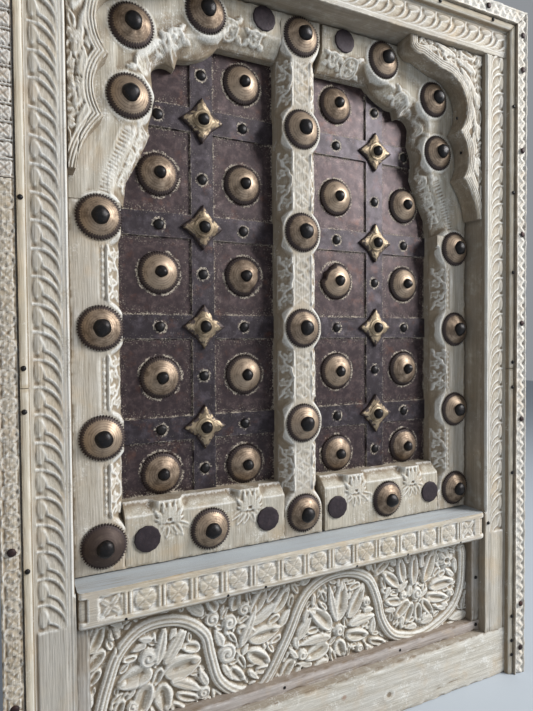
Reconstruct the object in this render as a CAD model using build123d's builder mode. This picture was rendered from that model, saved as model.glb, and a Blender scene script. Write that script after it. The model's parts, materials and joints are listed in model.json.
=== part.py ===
from build123d import *
from math import cos, hypot, pi, radians, sin, tan
import os

# A carved wooden window with two leaves that open inwards, in millimetres.
# The origin is at the middle of the foot. X runs to the right, +Y into the wall and Z up.

os.makedirs("parts", exist_ok=True)

# Driving sizes of the frame
frame_width = 786
frame_depth = 107
jamb_width = 75
rail_height = 77
panel_height = 155
sill_height = 45
opening_height = 741
head_height = 73

# Mouldings of the frame, counted inwards from its outer edge
strip_width = 22
strip_proud = 15
batten_width = 10
batten_proud = 9
batten_inner_proud = 2
groove_width = 4
groove_sink = 3
band_width = 29
band_sink = 4
leaf_pitch = 30
leaf_spread = 60
leaf_length_share = 0.85
leaf_width_share = 0.42
flame_lean = 70
flame_lean_shift = 5
flame_length_share = 0.95
flame_width_share = 0.75
strip_pitch = 37.7
strip_square = 16
strip_sink = 2.5
small_rosette_pitch = 30
lower_strip_joint = 730
batten_joint = 512
joint_gap = 0.6
band_foot_drop = 35

# Sill and lower panel
sill_round = 6
sill_square = 30
sill_square_count = 15
sill_square_pitch = 40
sill_sink = 2.5
sill_chamfer = 5
panel_setback = 30
panel_thickness = 24
panel_bead = 16
stem_half_wave = 66
stem_rise = 59
stem_width = 16
stem_height = 5
stem_start = 21
stem_bay_cuts = 8
stem_fullness = 0.25
palmette_leaf = (40, 17, 6)

# Spandrels
spandrel_setback = 9
spandrel_rim = 9
spandrel_sink = 2.5

# Leaves
leaf_setback = 42
side_gap = 4
bottom_gap = 2
top_gap = 3
parting_gap = 5.5
spandrel_gap = 2
board_thickness = 22
board_round = 10
board_seam = 1
sheet_thickness = 2
sheet_margin = 2
strap_thickness = 2.5
strap_width = 32
strap_fit = 0.2
overlay_thickness = 33
stile_width = 60
strap_tuck = 10
rail_end_gap = 0.3
arch_height = 285
arch_head = 60
leaf_rail_height = 78
meeting_width = 62
ledge_height = 80
ledge_thickness = 22
ledge_pivot_gap = 45
ledge_end_gap = 12
ledge_chamfer = 4
ledge_shares = (0.12, 0.5, 0.88)

# Pivots: round pins on the boards that turn in sockets in the head and the sill
pivot_inset = 9
pivot_radius = 9
pivot_fit = 0.05
pivot_length = 12
socket_end_gap = 1

# Bevels, which stop short of each boss
bevel_width = 17
bevel_depth = 20
bevel_block = 33
bevel_margin = 2
stop_angle = 30
rosette_radius = 10
rosette_height = 3
rosette_count = 3
lattice_size = 13

# Metalwork
boss_radius = 27.5
boss_height = 12.5
boss_seat = 10
boss_sides = 12
boss_shoulder = 0.72
boss_shoulder_rise = 0.68
panel_boss_radius = 26.5
nail_radius = 10.5
panel_nail_radius = 8
nail_height = 6
star_reach = 31
star_waist = 18
star_crown = 0.42
star_height = 9
nail_crown = 0.55
flat_nail_radius = 17
flat_nail_height = 2.5
strap_nail_radius = 7
strap_nail_height = 4
strip_nail_radius = 5
batten_nail_radius = 3.5
small_nail_height = 2.5
strip_nail_levels = ((176, 342), (45, 119, 428, 586, 731, 867, 997, 1052))
strip_nail_reaches = (304,)
batten_nail_levels = ((317, 487, 533, 712), (33, 57, 98, 339, 481, 522, 669, 799, 938))
batten_nail_reaches = (210, 320)
bead_nail_levels = (87, 166)
jamb_nail = (323, 259)

# Heights of the bosses above the lowest boss row, and of that row above the sill
boss_row_rise = 35
stile_boss_rows = (0, 132, 265, 398)
meeting_boss_rows = (0, 130, 266, 402, 547, 676)
panel_boss_rows = (73.4, 200.7, 339.5, 467.9, 607.8)
cross_strap_rows = (131, 268, 402.6, 546)

# Distances from the leaf's outer edge, leaf by leaf, left first
stile_boss_inset = (34, 24)
outer_column_inset = (115, 105)
rail_nail_inset = (87, 78)
arch_bosses = (
    ((72, 155), (76, 69), (172, 29)),
    ((61, 153), (70, 69), (170, 28)),
)
arch_nail_drop = 16
top_bevel_inset = (216, 232)
arch_shift = (3, -5)
strap_top_drop = 45

# Distances from the meeting side of the leaf, and outward shifts from midway between the two columns
inner_column_reach = (47, 41.5)
rail_nail_reach = (27, 20.5)
arch_nail_reach = (27, 36.5)
strap_shift = (0, 6.5)
rail_boss_shift = (4.5, 6.5)

# Bevels of the arches: distance from the outer edge, drop, lean, length and rosettes
arch_bevels = (
    (160, 84, -28, 20, 1),
    (101, 125, -90, 14, 1),
    (86, 222, -62, 48, 2),
)
top_bevel_length = 44
top_rosettes = 2
rail_bevel_length = 36
rail_rosettes = 2

# Levels and places that follow from the sizes above
rail_top = rail_height
sill_bottom = rail_top + panel_height
sill_top = sill_bottom + sill_height
soffit = sill_top + opening_height
frame_height = soffit + head_height
half_width = frame_width / 2
opening_half = half_width - jamb_width
frame_front = -frame_depth / 2
frame_back = frame_depth / 2
strip_inner = half_width - strip_width
batten_inner = strip_inner - batten_width
band_outer = batten_inner - groove_width
band_inner = band_outer - band_width
panel_face = frame_front + panel_setback
leaf_front = frame_front + leaf_setback
sheet_front = leaf_front + overlay_thickness
board_front = sheet_front + sheet_thickness
board_back = board_front + board_thickness
leaf_outer = opening_half - side_gap
leaf_bottom = sill_top + bottom_gap
leaf_top = soffit - top_gap
arch_bottom = leaf_top - arch_height
boss_row = sill_top + boss_row_rise
meeting_half = meeting_width / 2
right_leaf_edge = meeting_half + parting_gap
pivot_x = leaf_outer - pivot_inset
pivot_y = (board_front + board_back) / 2
bevel_slant = hypot(bevel_width, bevel_depth)


def facing(x, z, y, turn=0.0):
    """A plane at (x, y, z) that looks out of the wall, with its local x turned in the elevation."""
    along = (cos(radians(turn)), 0, sin(radians(turn)))
    return Plane(origin=(x, y, z), x_dir=along, z_dir=(0, -1, 0))


def level(x, y, z):
    """A plane at (x, y, z) that looks up."""
    return Plane(origin=(x, y, z), x_dir=(1, 0, 0), z_dir=(0, 0, 1))


def finish(piece, name):
    """Label a finished piece and write its STEP file."""
    piece.part.label = name
    export_step(piece.part, f"parts/{name}.step")


def ring(radii, start=0.0):
    """Points at equal angles whose distances from the centre repeat the given radii."""
    step = 2 * pi / len(radii)
    return [(r * cos(start + step * i), r * sin(start + step * i)) for i, r in enumerate(radii)]


def faceted(points, top, height, sink=0.5):
    """A carved facet form: an outline whose sides rise to one point."""
    with BuildPart() as form:
        with BuildSketch(Plane.XY.offset(-sink)) as base:
            with BuildLine():
                Polyline(*points, close=True)
            make_face()
        loft([base.sketch.face(), Vertex(top[0], top[1], height)])
    return form.part


def pocket(size, depth):
    """A sunk pyramid that leaves a square with two crossing valleys."""
    with BuildPart() as form:
        with BuildSketch(Plane.XY) as base:
            Rectangle(size, size)
        loft([base.sketch.face(), Vertex(0, 0, -depth)])
    return form.part


def carved_leaf(length, width, height):
    """A pointed leaf that lies along local x from the origin."""
    belly = length * 0.4
    points = [(0, 0), (belly, -width / 2), (length, 0), (belly, width / 2)]
    return faceted(points, (belly, 0), height)


def rosette(radius, height, petals=4):
    """A flower of pointed petals."""
    radii = [radius, radius * 0.5] * petals
    return faceted(ring(radii, pi / petals), (0, 0), height)


def flattened(points, seat_share, height):
    """A facet form whose top is cut off flat, where the outline has shrunk to the given share."""
    peak = height / (1 - seat_share)
    with BuildPart() as form:
        add(faceted(points, (0, 0), peak, sink=0))
        split(bisect_by=Plane.XY.offset(height), keep=Keep.BOTTOM)
    return form.part


def dome(radius, height, seat):
    """A brass boss: a steep rim, a flatter crown and a flat seat for its nail."""
    shoulder = radius * boss_shoulder
    shoulder_height = height * boss_shoulder_rise
    with BuildPart() as form:
        add(flattened(ring([radius] * boss_sides), boss_shoulder, shoulder_height))
        crown = flattened(ring([shoulder] * boss_sides), seat / shoulder, height - shoulder_height)
        with Locations((0, 0, shoulder_height)):
            add(crown)
    return form.part


def nail_head(radius, height, sides):
    """A forged nail head with sloping facets."""
    return flattened(ring([radius] * sides), nail_crown, height)


def star_boss():
    """A cast boss with four points and ridges between them."""
    return flattened(ring([star_reach, star_waist] * 4), star_crown, star_height)


def bevel_face():
    """The slanted plane of a bevel, seen from the member's panel-side edge."""
    return Plane(origin=(0, 0, -bevel_depth), x_dir=(1, 0, 0), z_dir=(0, -bevel_depth, bevel_width))


def bevel_cutter(length):
    """The wood taken off for a bevel with sloping stops at both ends."""
    rise = bevel_width + bevel_margin
    spread = 2 * rise * tan(radians(stop_angle))
    slant = bevel_face()
    section = Plane(origin=slant.origin - slant.y_dir * bevel_margin, x_dir=slant.x_dir, z_dir=slant.y_dir)
    with BuildPart() as form:
        with BuildSketch(section):
            with BuildLine():
                Polyline(
                    (-length / 2, 0),
                    (length / 2, 0),
                    (length / 2 + spread / 2, -rise),
                    (-length / 2 - spread / 2, -rise),
                    close=True,
                )
            make_face()
        extrude(amount=bevel_slant + 2 * bevel_margin)
    return form.part


def edge_place(x, z, turn):
    """The location of a bevel: local y points from the edge into the member."""
    return facing(x, z, leaf_front, turn).location


def bevel_rosettes(count, pitch):
    """Where the rosettes of one bevel stand, on its slanted face."""
    middle = (count - 1) / 2
    return [bevel_face().location * Location(((i - middle) * pitch, bevel_slant / 2, 0)) for i in range(count)]


bevel_rosette = rosette(rosette_radius, rosette_height, 4)
lattice_diamond = faceted(ring([lattice_size / 2] * 4), (0, 0), 1.5)
frame_boss = dome(boss_radius, boss_height, boss_seat)
panel_boss = dome(panel_boss_radius, boss_height, boss_seat)
star = star_boss()
boss_nail = nail_head(nail_radius, nail_height, 6)
panel_boss_nail = nail_head(panel_nail_radius, nail_height, 6)
flat_nail = nail_head(flat_nail_radius, flat_nail_height, 8)
strap_nail = faceted(ring([strap_nail_radius] * 6), (0, 0), strap_nail_height, sink=0)
strip_nail = faceted(ring([strip_nail_radius] * 6), (0, 0), small_nail_height, sink=0)
batten_nail = faceted(ring([batten_nail_radius] * 5), (0, 0), small_nail_height, sink=0)


# Frame members

with BuildPart() as bottom_rail:
    with BuildSketch(facing(0, rail_height / 2, frame_back)):
        Rectangle(frame_width, rail_height)
    extrude(amount=frame_depth)
finish(bottom_rail, "bottom_rail")


def build_jamb(side, name):
    """A jamb with its fillet, its band of carved leaves and its groove."""
    centre = side * (opening_half + half_width) / 2
    band_foot = sill_top - band_foot_drop
    band_length = soffit - band_foot
    band_x = side * (band_inner + band_outer) / 2
    count = round(band_length / leaf_pitch)
    pitch = band_length / count
    petal = carved_leaf(pitch * leaf_length_share, band_width * leaf_width_share, band_sink)
    places = []
    for i in range(count):
        foot = band_foot + (i + 0.1) * pitch
        for lean in (leaf_spread, 180 - leaf_spread):
            places.append(facing(band_x, foot, frame_front + band_sink, lean))
    with BuildPart() as jamb:
        with BuildSketch(facing(centre, (rail_top + soffit) / 2, frame_back)):
            Rectangle(jamb_width, soffit - rail_top)
        extrude(amount=frame_depth)
        with BuildSketch(facing(band_x, band_foot + band_length / 2, frame_front)):
            Rectangle(band_width, band_length)
        extrude(amount=-band_sink, mode=Mode.SUBTRACT)
        groove_x = side * (band_outer + groove_width / 2)
        with BuildSketch(facing(groove_x, (rail_top + soffit) / 2, frame_front)):
            Rectangle(groove_width, soffit - rail_top)
        extrude(amount=-groove_sink, mode=Mode.SUBTRACT)
        with Locations(*places):
            add(petal)
    finish(jamb, name)


build_jamb(-1, "jamb_left")
build_jamb(1, "jamb_right")

# The head lies on both jambs. Its leaves lean like flames.
head_band_low = frame_height - strip_width - batten_width - groove_width - band_width
head_band_middle = head_band_low + band_width / 2
flame_pitch = leaf_pitch / 2
flame_count = int(2 * band_outer / flame_pitch)
flame = carved_leaf(band_width * flame_length_share, flame_pitch * flame_width_share, band_sink)
flame_feet = [(i - (flame_count - 1) / 2) * flame_pitch - flame_lean_shift for i in range(flame_count)]
with BuildPart() as head_rail:
    with BuildSketch(facing(0, soffit + head_height / 2, frame_back)):
        Rectangle(frame_width, head_height)
    extrude(amount=frame_depth)
    with BuildSketch(facing(0, head_band_middle, frame_front)):
        Rectangle(2 * band_outer, band_width)
    extrude(amount=-band_sink, mode=Mode.SUBTRACT)
    with BuildSketch(facing(0, head_band_low + band_width + groove_width / 2, frame_front)):
        Rectangle(2 * batten_inner, groove_width)
    extrude(amount=-groove_sink, mode=Mode.SUBTRACT)
    with Locations(*[facing(x, head_band_low + 1, frame_front + band_sink, flame_lean) for x in flame_feet]):
        add(flame)
    for x in (-pivot_x, pivot_x):
        with BuildSketch(level(x, pivot_y, soffit)):
            Circle(pivot_radius + pivot_fit)
        extrude(amount=pivot_length + socket_end_gap, mode=Mode.SUBTRACT)
finish(head_rail, "head_rail")

# The sill has a row of sunk squares, each with a flower, between pairs of upright fillets.
sill_flower = rosette(sill_square * 0.48, sill_sink, 4)
sill_squares = [(i - (sill_square_count - 1) / 2) * sill_square_pitch for i in range(sill_square_count)]
with BuildPart() as sill:
    with BuildSketch(facing(0, (sill_bottom + sill_top) / 2, frame_back)):
        Rectangle(2 * opening_half, sill_height)
    extrude(amount=frame_depth)
    fillet(sill.edges().filter_by(Axis.Z).group_by(Axis.Y)[0], radius=sill_round)
    chamfer(sill.faces().sort_by(Axis.Z)[0].edges().sort_by(Axis.Y)[0], length=sill_chamfer)
    with BuildSketch(facing(0, (sill_bottom + sill_top) / 2, frame_front)):
        with Locations(*[(x, 0) for x in sill_squares]):
            Rectangle(sill_square, sill_square)
    extrude(amount=-sill_sink, mode=Mode.SUBTRACT)
    with Locations(*[facing(x, (sill_bottom + sill_top) / 2, frame_front + sill_sink) for x in sill_squares]):
        add(sill_flower)
    for x in (-pivot_x, pivot_x):
        with BuildSketch(level(x, pivot_y, sill_top)):
            Circle(pivot_radius + pivot_fit)
        extrude(amount=-pivot_length - socket_end_gap, mode=Mode.SUBTRACT)
finish(sill, "sill")

def wave(angle):
    """A wave with full, round crests."""
    return sin(angle) * (1 + stem_fullness * cos(angle) ** 2)


# The lower panel: a vine that waves along the board, with a palmette in each bay
vine_end = opening_half - panel_bead
vine_middle = (rail_top + panel_bead + sill_bottom) / 2
vine_start = -vine_end + stem_start
bay_count = int((2 * vine_end - stem_start) / (2 * stem_half_wave))
palmette = carved_leaf(*palmette_leaf)
palmette_places = []
for bay in range(bay_count):
    upright = 1 if bay % 2 == 0 else -1
    for lean in (20, 55, 90, 125, 160):
        foot_x = vine_start + (2 * bay + 1) * stem_half_wave + stem_width / 2 * cos(radians(lean))
        foot_z = vine_middle - upright * stem_rise * (0.5 - 0.15 * sin(radians(lean)))
        palmette_places.append(facing(foot_x, foot_z, panel_face, upright * lean))
stem_cuts = bay_count * stem_bay_cuts
stem_angles = [i * pi / stem_bay_cuts for i in range(stem_cuts + 1)]
stem_points = [(vine_start + 2 * stem_half_wave * a / pi, stem_rise * wave(a)) for a in stem_angles]
with BuildPart() as lower_panel:
    with BuildSketch(facing(0, (rail_top + sill_bottom) / 2, panel_face + panel_thickness)):
        Rectangle(2 * opening_half, panel_height)
    extrude(amount=panel_thickness)
    with BuildSketch(facing(0, vine_middle, panel_face)):
        with BuildLine() as stem:
            Polyline(*stem_points)
        trace(stem.line, line_width=stem_width)
    extrude(amount=stem_height)
    with Locations(*palmette_places):
        add(palmette)
finish(lower_panel, "lower_panel")


def build_bar(name, x0, x1, z0, z1, front, back):
    """A plain square bar."""
    with BuildPart() as bar:
        with BuildSketch(facing((x0 + x1) / 2, (z0 + z1) / 2, back)):
            Rectangle(x1 - x0, z1 - z0)
        extrude(amount=back - front)
    finish(bar, name)


bead_front = panel_face - panel_bead
for side, name in ((-1, "panel_bead_left"), (1, "panel_bead_right")):
    ends = sorted((side * vine_end, side * opening_half))
    build_bar(name, *ends, rail_top + panel_bead, sill_bottom, bead_front, panel_face)
build_bar("panel_bead_bottom", -opening_half, opening_half, rail_top, rail_top + panel_bead, bead_front, panel_face)


# Battens and outer strips, mitred at the top corners

def batten_profile(side):
    """The batten's section, seen from above: low and rounded inside, high outside."""
    x0 = side * batten_inner
    x1 = side * strip_inner
    with BuildSketch(Plane.XY) as profile:
        with BuildLine():
            Line((x0, frame_front), (x1, frame_front))
            Line((x1, frame_front), (x1, frame_front - batten_proud))
            ThreePointArc(
                (x1, frame_front - batten_proud),
                (x0 + side * batten_width * 0.35, frame_front - batten_proud * 0.75),
                (x0, frame_front - batten_inner_proud),
            )
            Line((x0, frame_front - batten_inner_proud), (x0, frame_front))
        make_face()
    return profile.sketch


def mitre(side):
    """The plane of the mitre at one top corner, which looks away from the upright piece."""
    return Plane(origin=(side * half_width, 0, frame_height), x_dir=(0, 1, 0), z_dir=(-side, 0, 1))


def build_batten(side, name, z0, z1, mitred):
    with BuildPart() as batten:
        with BuildSketch(Plane.XY.offset(z0)):
            add(batten_profile(side))
        extrude(amount=z1 - z0)
        if mitred:
            split(bisect_by=mitre(side), keep=Keep.BOTTOM)
    finish(batten, name)


for side, word in ((-1, "left"), (1, "right")):
    build_batten(side, f"batten_{word}_lower", 0, batten_joint - joint_gap, False)
    build_batten(side, f"batten_{word}_upper", batten_joint, frame_height, True)

with BuildPart() as batten_top:
    with BuildSketch(Plane.YZ.offset(-half_width)):
        with BuildLine():
            low = frame_height - strip_width - batten_width
            high = frame_height - strip_width
            Line((frame_front, low), (frame_front, high))
            Line((frame_front, high), (frame_front - batten_proud, high))
            ThreePointArc(
                (frame_front - batten_proud, high),
                (frame_front - batten_proud * 0.75, low + batten_width * 0.35),
                (frame_front - batten_inner_proud, low),
            )
            Line((frame_front - batten_inner_proud, low), (frame_front, low))
        make_face()
    extrude(amount=frame_width)
    for side in (-1, 1):
        split(bisect_by=mitre(side), keep=Keep.TOP)
finish(batten_top, "batten_top")

strip_face = frame_front - strip_proud
strip_middle = half_width - strip_width / 2
strip_pocket = pocket(strip_square, strip_sink)
strip_flower = rosette(strip_square * 0.45, 1.5, 4)


def clear_of(nails, spots):
    """The spots of a run of carving that leave room for the nail heads."""
    room = strip_nail_radius + strip_square / 2
    return [spot for spot in spots if all(abs(spot - nail) > room for nail in nails)]


def build_strip(side, name, z0, z1, worn):
    """An upright outer strip. The worn one has small flowers, the others crossed squares."""
    top_inner = z1 - strip_width if z1 == frame_height else z1
    x0 = side * strip_inner
    x1 = side * half_width
    pitch = small_rosette_pitch if worn else strip_pitch / 2
    count = int((top_inner - z0) / pitch)
    nails = strip_nail_levels[0 if side < 0 else 1]
    levels = clear_of(nails, [z0 + (i + 0.5) * pitch for i in range(count)])
    places = [facing(side * strip_middle, z, strip_face) for z in levels]
    with BuildPart() as strip:
        with BuildSketch(facing(0, 0, frame_front)):
            with BuildLine():
                Polyline((x0, z0), (x1, z0), (x1, z1), (x0, top_inner), close=True)
            make_face()
        extrude(amount=strip_proud)
        with Locations(*places):
            if worn:
                add(strip_flower)
            else:
                add(strip_pocket, mode=Mode.SUBTRACT)
    finish(strip, name)


build_strip(-1, "strip_left_lower", 0, lower_strip_joint - joint_gap, True)
build_strip(-1, "strip_left_upper", lower_strip_joint, frame_height, False)
build_strip(1, "strip_right", 0, frame_height, False)

top_count = int(2 * strip_inner / (strip_pitch / 2))
top_run = [(i - (top_count - 1) / 2) * strip_pitch / 2 for i in range(top_count)]
top_reaches = clear_of(strip_nail_reaches, top_run)
with BuildPart() as strip_top:
    with BuildSketch(facing(0, 0, frame_front)):
        with BuildLine():
            Polyline(
                (-half_width, frame_height),
                (-strip_inner, frame_height - strip_width),
                (strip_inner, frame_height - strip_width),
                (half_width, frame_height),
                close=True,
            )
        make_face()
    extrude(amount=strip_proud)
    with Locations(*[facing(x, frame_height - strip_width / 2, strip_face) for x in top_reaches]):
        add(strip_pocket, mode=Mode.SUBTRACT)
finish(strip_top, "strip_top")


# Spandrels: cusped brackets in the upper corners, with a rim along the cusps and carved leaves

spandrel_front = frame_front + spandrel_setback
spandrel_back = leaf_front - spandrel_gap
spandrel_leaf = carved_leaf(26, 11, spandrel_sink + 1)
spandrel_leaves = (
    (120, 8, -10), (92, 12, -25), (64, 14, -20), (40, 20, -55), (22, 40, -80),
    (18, 72, -95), (22, 104, -60), (26, 136, -110), (14, 168, -80), (22, 198, -70),
)


def build_spandrel(side, name):
    def corner(inset, drop):
        return (side * (opening_half - inset), soffit - drop)

    with BuildSketch(Plane.XY) as outline:
        with BuildLine():
            Line(corner(0, 0), corner(148, 0))
            Line(corner(148, 0), corner(148, 15))
            ThreePointArc(corner(148, 15), corner(140, 23), corner(125, 25))
            Line(corner(125, 25), corner(86, 39))
            ThreePointArc(corner(86, 39), corner(42, 62), corner(47, 127))
            ThreePointArc(corner(47, 127), corner(30, 162), corner(40, 200))
            ThreePointArc(corner(40, 200), corner(20, 228), corner(9, 263))
            Line(corner(9, 263), corner(0, 263))
            Line(corner(0, 263), corner(0, 0))
        make_face()
    with BuildPart() as spandrel:
        with BuildSketch(facing(0, 0, spandrel_back)):
            add(outline.sketch)
        extrude(amount=spandrel_back - spandrel_front)
        with BuildSketch(facing(0, 0, spandrel_front)):
            add(outline.sketch)
            offset(amount=-spandrel_rim, kind=Kind.INTERSECTION, mode=Mode.REPLACE)
        extrude(amount=-spandrel_sink, mode=Mode.SUBTRACT)
        with Locations(
            *[
                facing(*corner(inset, drop), spandrel_front + spandrel_sink, 90 - side * (90 - lean))
                for inset, drop, lean in spandrel_leaves
            ]
        ):
            add(spandrel_leaf)
    finish(spandrel, name)


build_spandrel(-1, "spandrel_left")
build_spandrel(1, "spandrel_right")


# Leaves: boards clad in iron, with carved overlays, brass bosses and forged nails

panel_edge = leaf_outer - stile_width
rail_level = leaf_bottom + leaf_rail_height
strap_front = sheet_front - strap_thickness
bay_rows = [(low + high) / 2 for low, high in zip(stile_boss_rows, stile_boss_rows[1:])]


def along(side, inset):
    """The x of a point at a distance from the leaf's outer edge."""
    return side * (leaf_outer - inset)


def stopped_bevels(edges):
    """The cutters and the rosettes' places for (x, z, turn, length, rosettes) along panel-side edges."""
    cutters = []
    places = []
    for x, z, turn, length, count in edges:
        place = edge_place(x, z, turn)
        cutters.append(bevel_cutter(length).moved(place))
        pitch = length / max(count, 1)
        places += [place * spot for spot in bevel_rosettes(count, pitch)]
    return cutters, places


def strap_set(upright_x, top, low_x, high_x, fit):
    """The upright strap and, beside it, the cross straps, each grown by fit."""
    foot = rail_level - strap_tuck
    with BuildPart() as upright:
        with BuildSketch(facing(upright_x, (foot + top) / 2, sheet_front)):
            Rectangle(strap_width + 2 * fit, top - foot + 2 * fit)
        extrude(amount=strap_thickness + fit)
    spans = (
        (low_x, upright_x - strap_width / 2 - rail_end_gap),
        (upright_x + strap_width / 2 + rail_end_gap, high_x),
    )
    with BuildPart() as crossing:
        with BuildSketch(facing(0, boss_row, sheet_front)):
            for x0, x1 in spans:
                with Locations(*[((x0 + x1) / 2, row) for row in cross_strap_rows]):
                    Rectangle(x1 - x0 + 2 * fit, strap_width + 2 * fit)
        extrude(amount=strap_thickness + fit)
    return upright, crossing


def build_boards(side, word, inner_x):
    """Two boards side by side. The outer one carries the pivot pins at its ends."""
    outer_x = side * leaf_outer
    seam_x = (outer_x + inner_x) / 2
    middle_z = (leaf_bottom + leaf_top) / 2
    height = leaf_top - leaf_bottom
    with BuildPart() as pivot_board:
        with BuildSketch(facing((outer_x + seam_x + side * board_seam / 2) / 2, middle_z, board_back)):
            Rectangle(abs(outer_x - seam_x) - board_seam / 2, height)
        extrude(amount=board_thickness)
        back_edges = pivot_board.edges().filter_by(Axis.Z).group_by(Axis.Y)[-1].sort_by(Axis.X)
        fillet(back_edges[-1] if side > 0 else back_edges[0], radius=board_round)
        with BuildSketch(level(side * pivot_x, pivot_y, leaf_bottom)):
            Circle(pivot_radius)
        extrude(amount=-(bottom_gap + pivot_length))
        with BuildSketch(level(side * pivot_x, pivot_y, leaf_top)):
            Circle(pivot_radius)
        extrude(amount=top_gap + pivot_length)
    finish(pivot_board, f"{word}_pivot_board")
    with BuildPart() as inner_board:
        with BuildSketch(facing((inner_x + seam_x - side * board_seam / 2) / 2, middle_z, board_back)):
            Rectangle(abs(inner_x - seam_x) - board_seam / 2, height)
        extrude(amount=board_thickness)
    finish(inner_board, f"{word}_inner_board")


def build_ledges(side, word, inner_x):
    """Three ledges across the back of the boards, clear of the jamb when the leaf is open."""
    x0, x1 = sorted((side * (pivot_x - ledge_pivot_gap), inner_x + side * ledge_end_gap))
    rows = [leaf_bottom + (leaf_top - leaf_bottom) * share for share in ledge_shares]
    with BuildPart() as ledges:
        with BuildSketch(facing(0, 0, board_back + ledge_thickness)):
            with Locations(*[((x0 + x1) / 2, z) for z in rows]):
                Rectangle(x1 - x0, ledge_height)
        extrude(amount=ledge_thickness)
        chamfer(ledges.faces().group_by(Axis.Y)[-1].edges(), length=ledge_chamfer)
    finish(ledges, f"{word}_ledges")


def build_sheets(side, word, seam_x, inner_x):
    """Iron sheets on the boards, with their seams under the straps."""
    outer = (side * (leaf_outer - sheet_margin), seam_x)
    inner = (seam_x, inner_x + side * sheet_margin)
    levels = [leaf_bottom + sheet_margin]
    levels += [boss_row + row for row in cross_strap_rows]
    levels += [leaf_top - sheet_margin]
    with BuildPart() as sheets:
        with BuildSketch(facing(0, 0, board_front)):
            for x0, x1 in (sorted(outer), sorted(inner)):
                for z0, z1 in zip(levels, levels[1:]):
                    with Locations(((x0 + x1) / 2, (z0 + z1) / 2)):
                        Rectangle(x1 - x0 - board_seam, z1 - z0 - board_seam)
        extrude(amount=sheet_thickness)
    finish(sheets, f"{word}_iron_sheets")


def build_stile(side, word, pockets):
    """The outer stile, full in section at each boss and bevelled between them."""
    x = side * panel_edge
    length = stile_boss_rows[1] - stile_boss_rows[0] - 2 * bevel_block
    edges = [(x, boss_row + row, -side * 90, length, rosette_count) for row in bay_rows]
    cutters, places = stopped_bevels(edges)
    with BuildPart() as stile:
        with BuildSketch(facing(along(side, stile_width / 2), (leaf_bottom + arch_bottom) / 2, sheet_front)):
            Rectangle(stile_width, arch_bottom - leaf_bottom)
        extrude(amount=overlay_thickness)
        add(pockets, mode=Mode.SUBTRACT)
        add(cutters, mode=Mode.SUBTRACT)
        with Locations(*places):
            add(bevel_rosette)
    finish(stile, f"{word}_stile")


def build_leaf_rail(side, word, inner_x, stops, pockets):
    """The rail along the foot of a leaf, bevelled between its boss and its nails."""
    x0, x1 = sorted((side * panel_edge, inner_x))
    length = rail_bevel_length
    edges = [((a + b) / 2, rail_level, 180, length, rail_rosettes) for a, b in zip(stops, stops[1:])]
    cutters, places = stopped_bevels(edges)
    with BuildPart() as rail:
        with BuildSketch(facing((x0 + x1) / 2, (leaf_bottom + rail_level) / 2, sheet_front)):
            Rectangle(x1 - x0, leaf_rail_height)
        extrude(amount=overlay_thickness)
        add(pockets, mode=Mode.SUBTRACT)
        add(cutters, mode=Mode.SUBTRACT)
        with Locations(*places):
            add(bevel_rosette)
    finish(rail, f"{word}_leaf_rail")


def build_arch(side, word, inner_x, shift, top_bevel, pockets):
    """The head of a leaf, one board with a cusped inner edge that is bevelled between its bosses."""

    def at(inset, drop):
        return (along(side, inset + shift), leaf_top - drop)

    with BuildSketch(Plane.XY) as outline:
        with BuildLine():
            Line((side * leaf_outer, arch_bottom), (side * leaf_outer, leaf_top))
            Line((side * leaf_outer, leaf_top), (inner_x, leaf_top))
            Line((inner_x, leaf_top), (inner_x, leaf_top - arch_head))
            Line((inner_x, leaf_top - arch_head), at(192, arch_head))
            ThreePointArc(at(192, arch_head), at(169, 79), at(136, 87))
            Line(at(136, 87), at(132, 101))
            ThreePointArc(at(132, 101), at(109, 100), at(101, 112))
            Line(at(101, 112), at(104, 143))
            ThreePointArc(at(104, 143), at(97, 168), at(98, 192))
            ThreePointArc(at(98, 192), at(85, 222), at(67, 256))
            Line(at(67, 256), at(64, arch_height))
            Line(at(64, arch_height), (side * leaf_outer, arch_bottom))
        make_face()
    edges = []
    for inset, drop, lean, length, count in arch_bevels:
        x, z = at(inset, drop)
        edges.append((x, z, side * lean, length, count))
    edges.append((along(side, top_bevel), leaf_top - arch_head, 0, top_bevel_length, top_rosettes))
    cutters, places = stopped_bevels(edges)
    with BuildPart() as arch:
        with BuildSketch(facing(0, 0, sheet_front)):
            add(outline.sketch)
        extrude(amount=overlay_thickness)
        add(pockets, mode=Mode.SUBTRACT)
        add(cutters, mode=Mode.SUBTRACT)
        with Locations(*places):
            add(bevel_rosette)
    finish(arch, f"{word}_arch")


def build_meeting_stile(pockets):
    """The meeting stile of the left leaf, with a block at each boss and a lattice between them."""
    edges = []
    diamonds = []
    for low, high in zip(meeting_boss_rows, meeting_boss_rows[1:]):
        middle = boss_row + (low + high) / 2
        length = high - low - 2 * bevel_block
        for side in (-1, 1):
            edges.append((side * meeting_half, middle, side * 90, length, rosette_count))
        for step in (-1.5, -0.5, 0.5, 1.5):
            diamonds.append(facing(0, middle + step * lattice_size * 1.3, leaf_front))
    cutters, places = stopped_bevels(edges)
    with BuildPart() as meeting_stile:
        with BuildSketch(facing(0, (leaf_bottom + leaf_top) / 2, sheet_front)):
            Rectangle(meeting_width, leaf_top - leaf_bottom)
        extrude(amount=overlay_thickness)
        add(pockets, mode=Mode.SUBTRACT)
        add(cutters, mode=Mode.SUBTRACT)
        with Locations(*places):
            add(bevel_rosette)
        with Locations(*diamonds):
            add(lattice_diamond)
    finish(meeting_stile, "meeting_stile")


def build_group(form, places, name):
    """Like pieces in one node, each a solid of its own."""
    with BuildPart() as group:
        with Locations(*places):
            add(form)
    finish(group, name)


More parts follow.
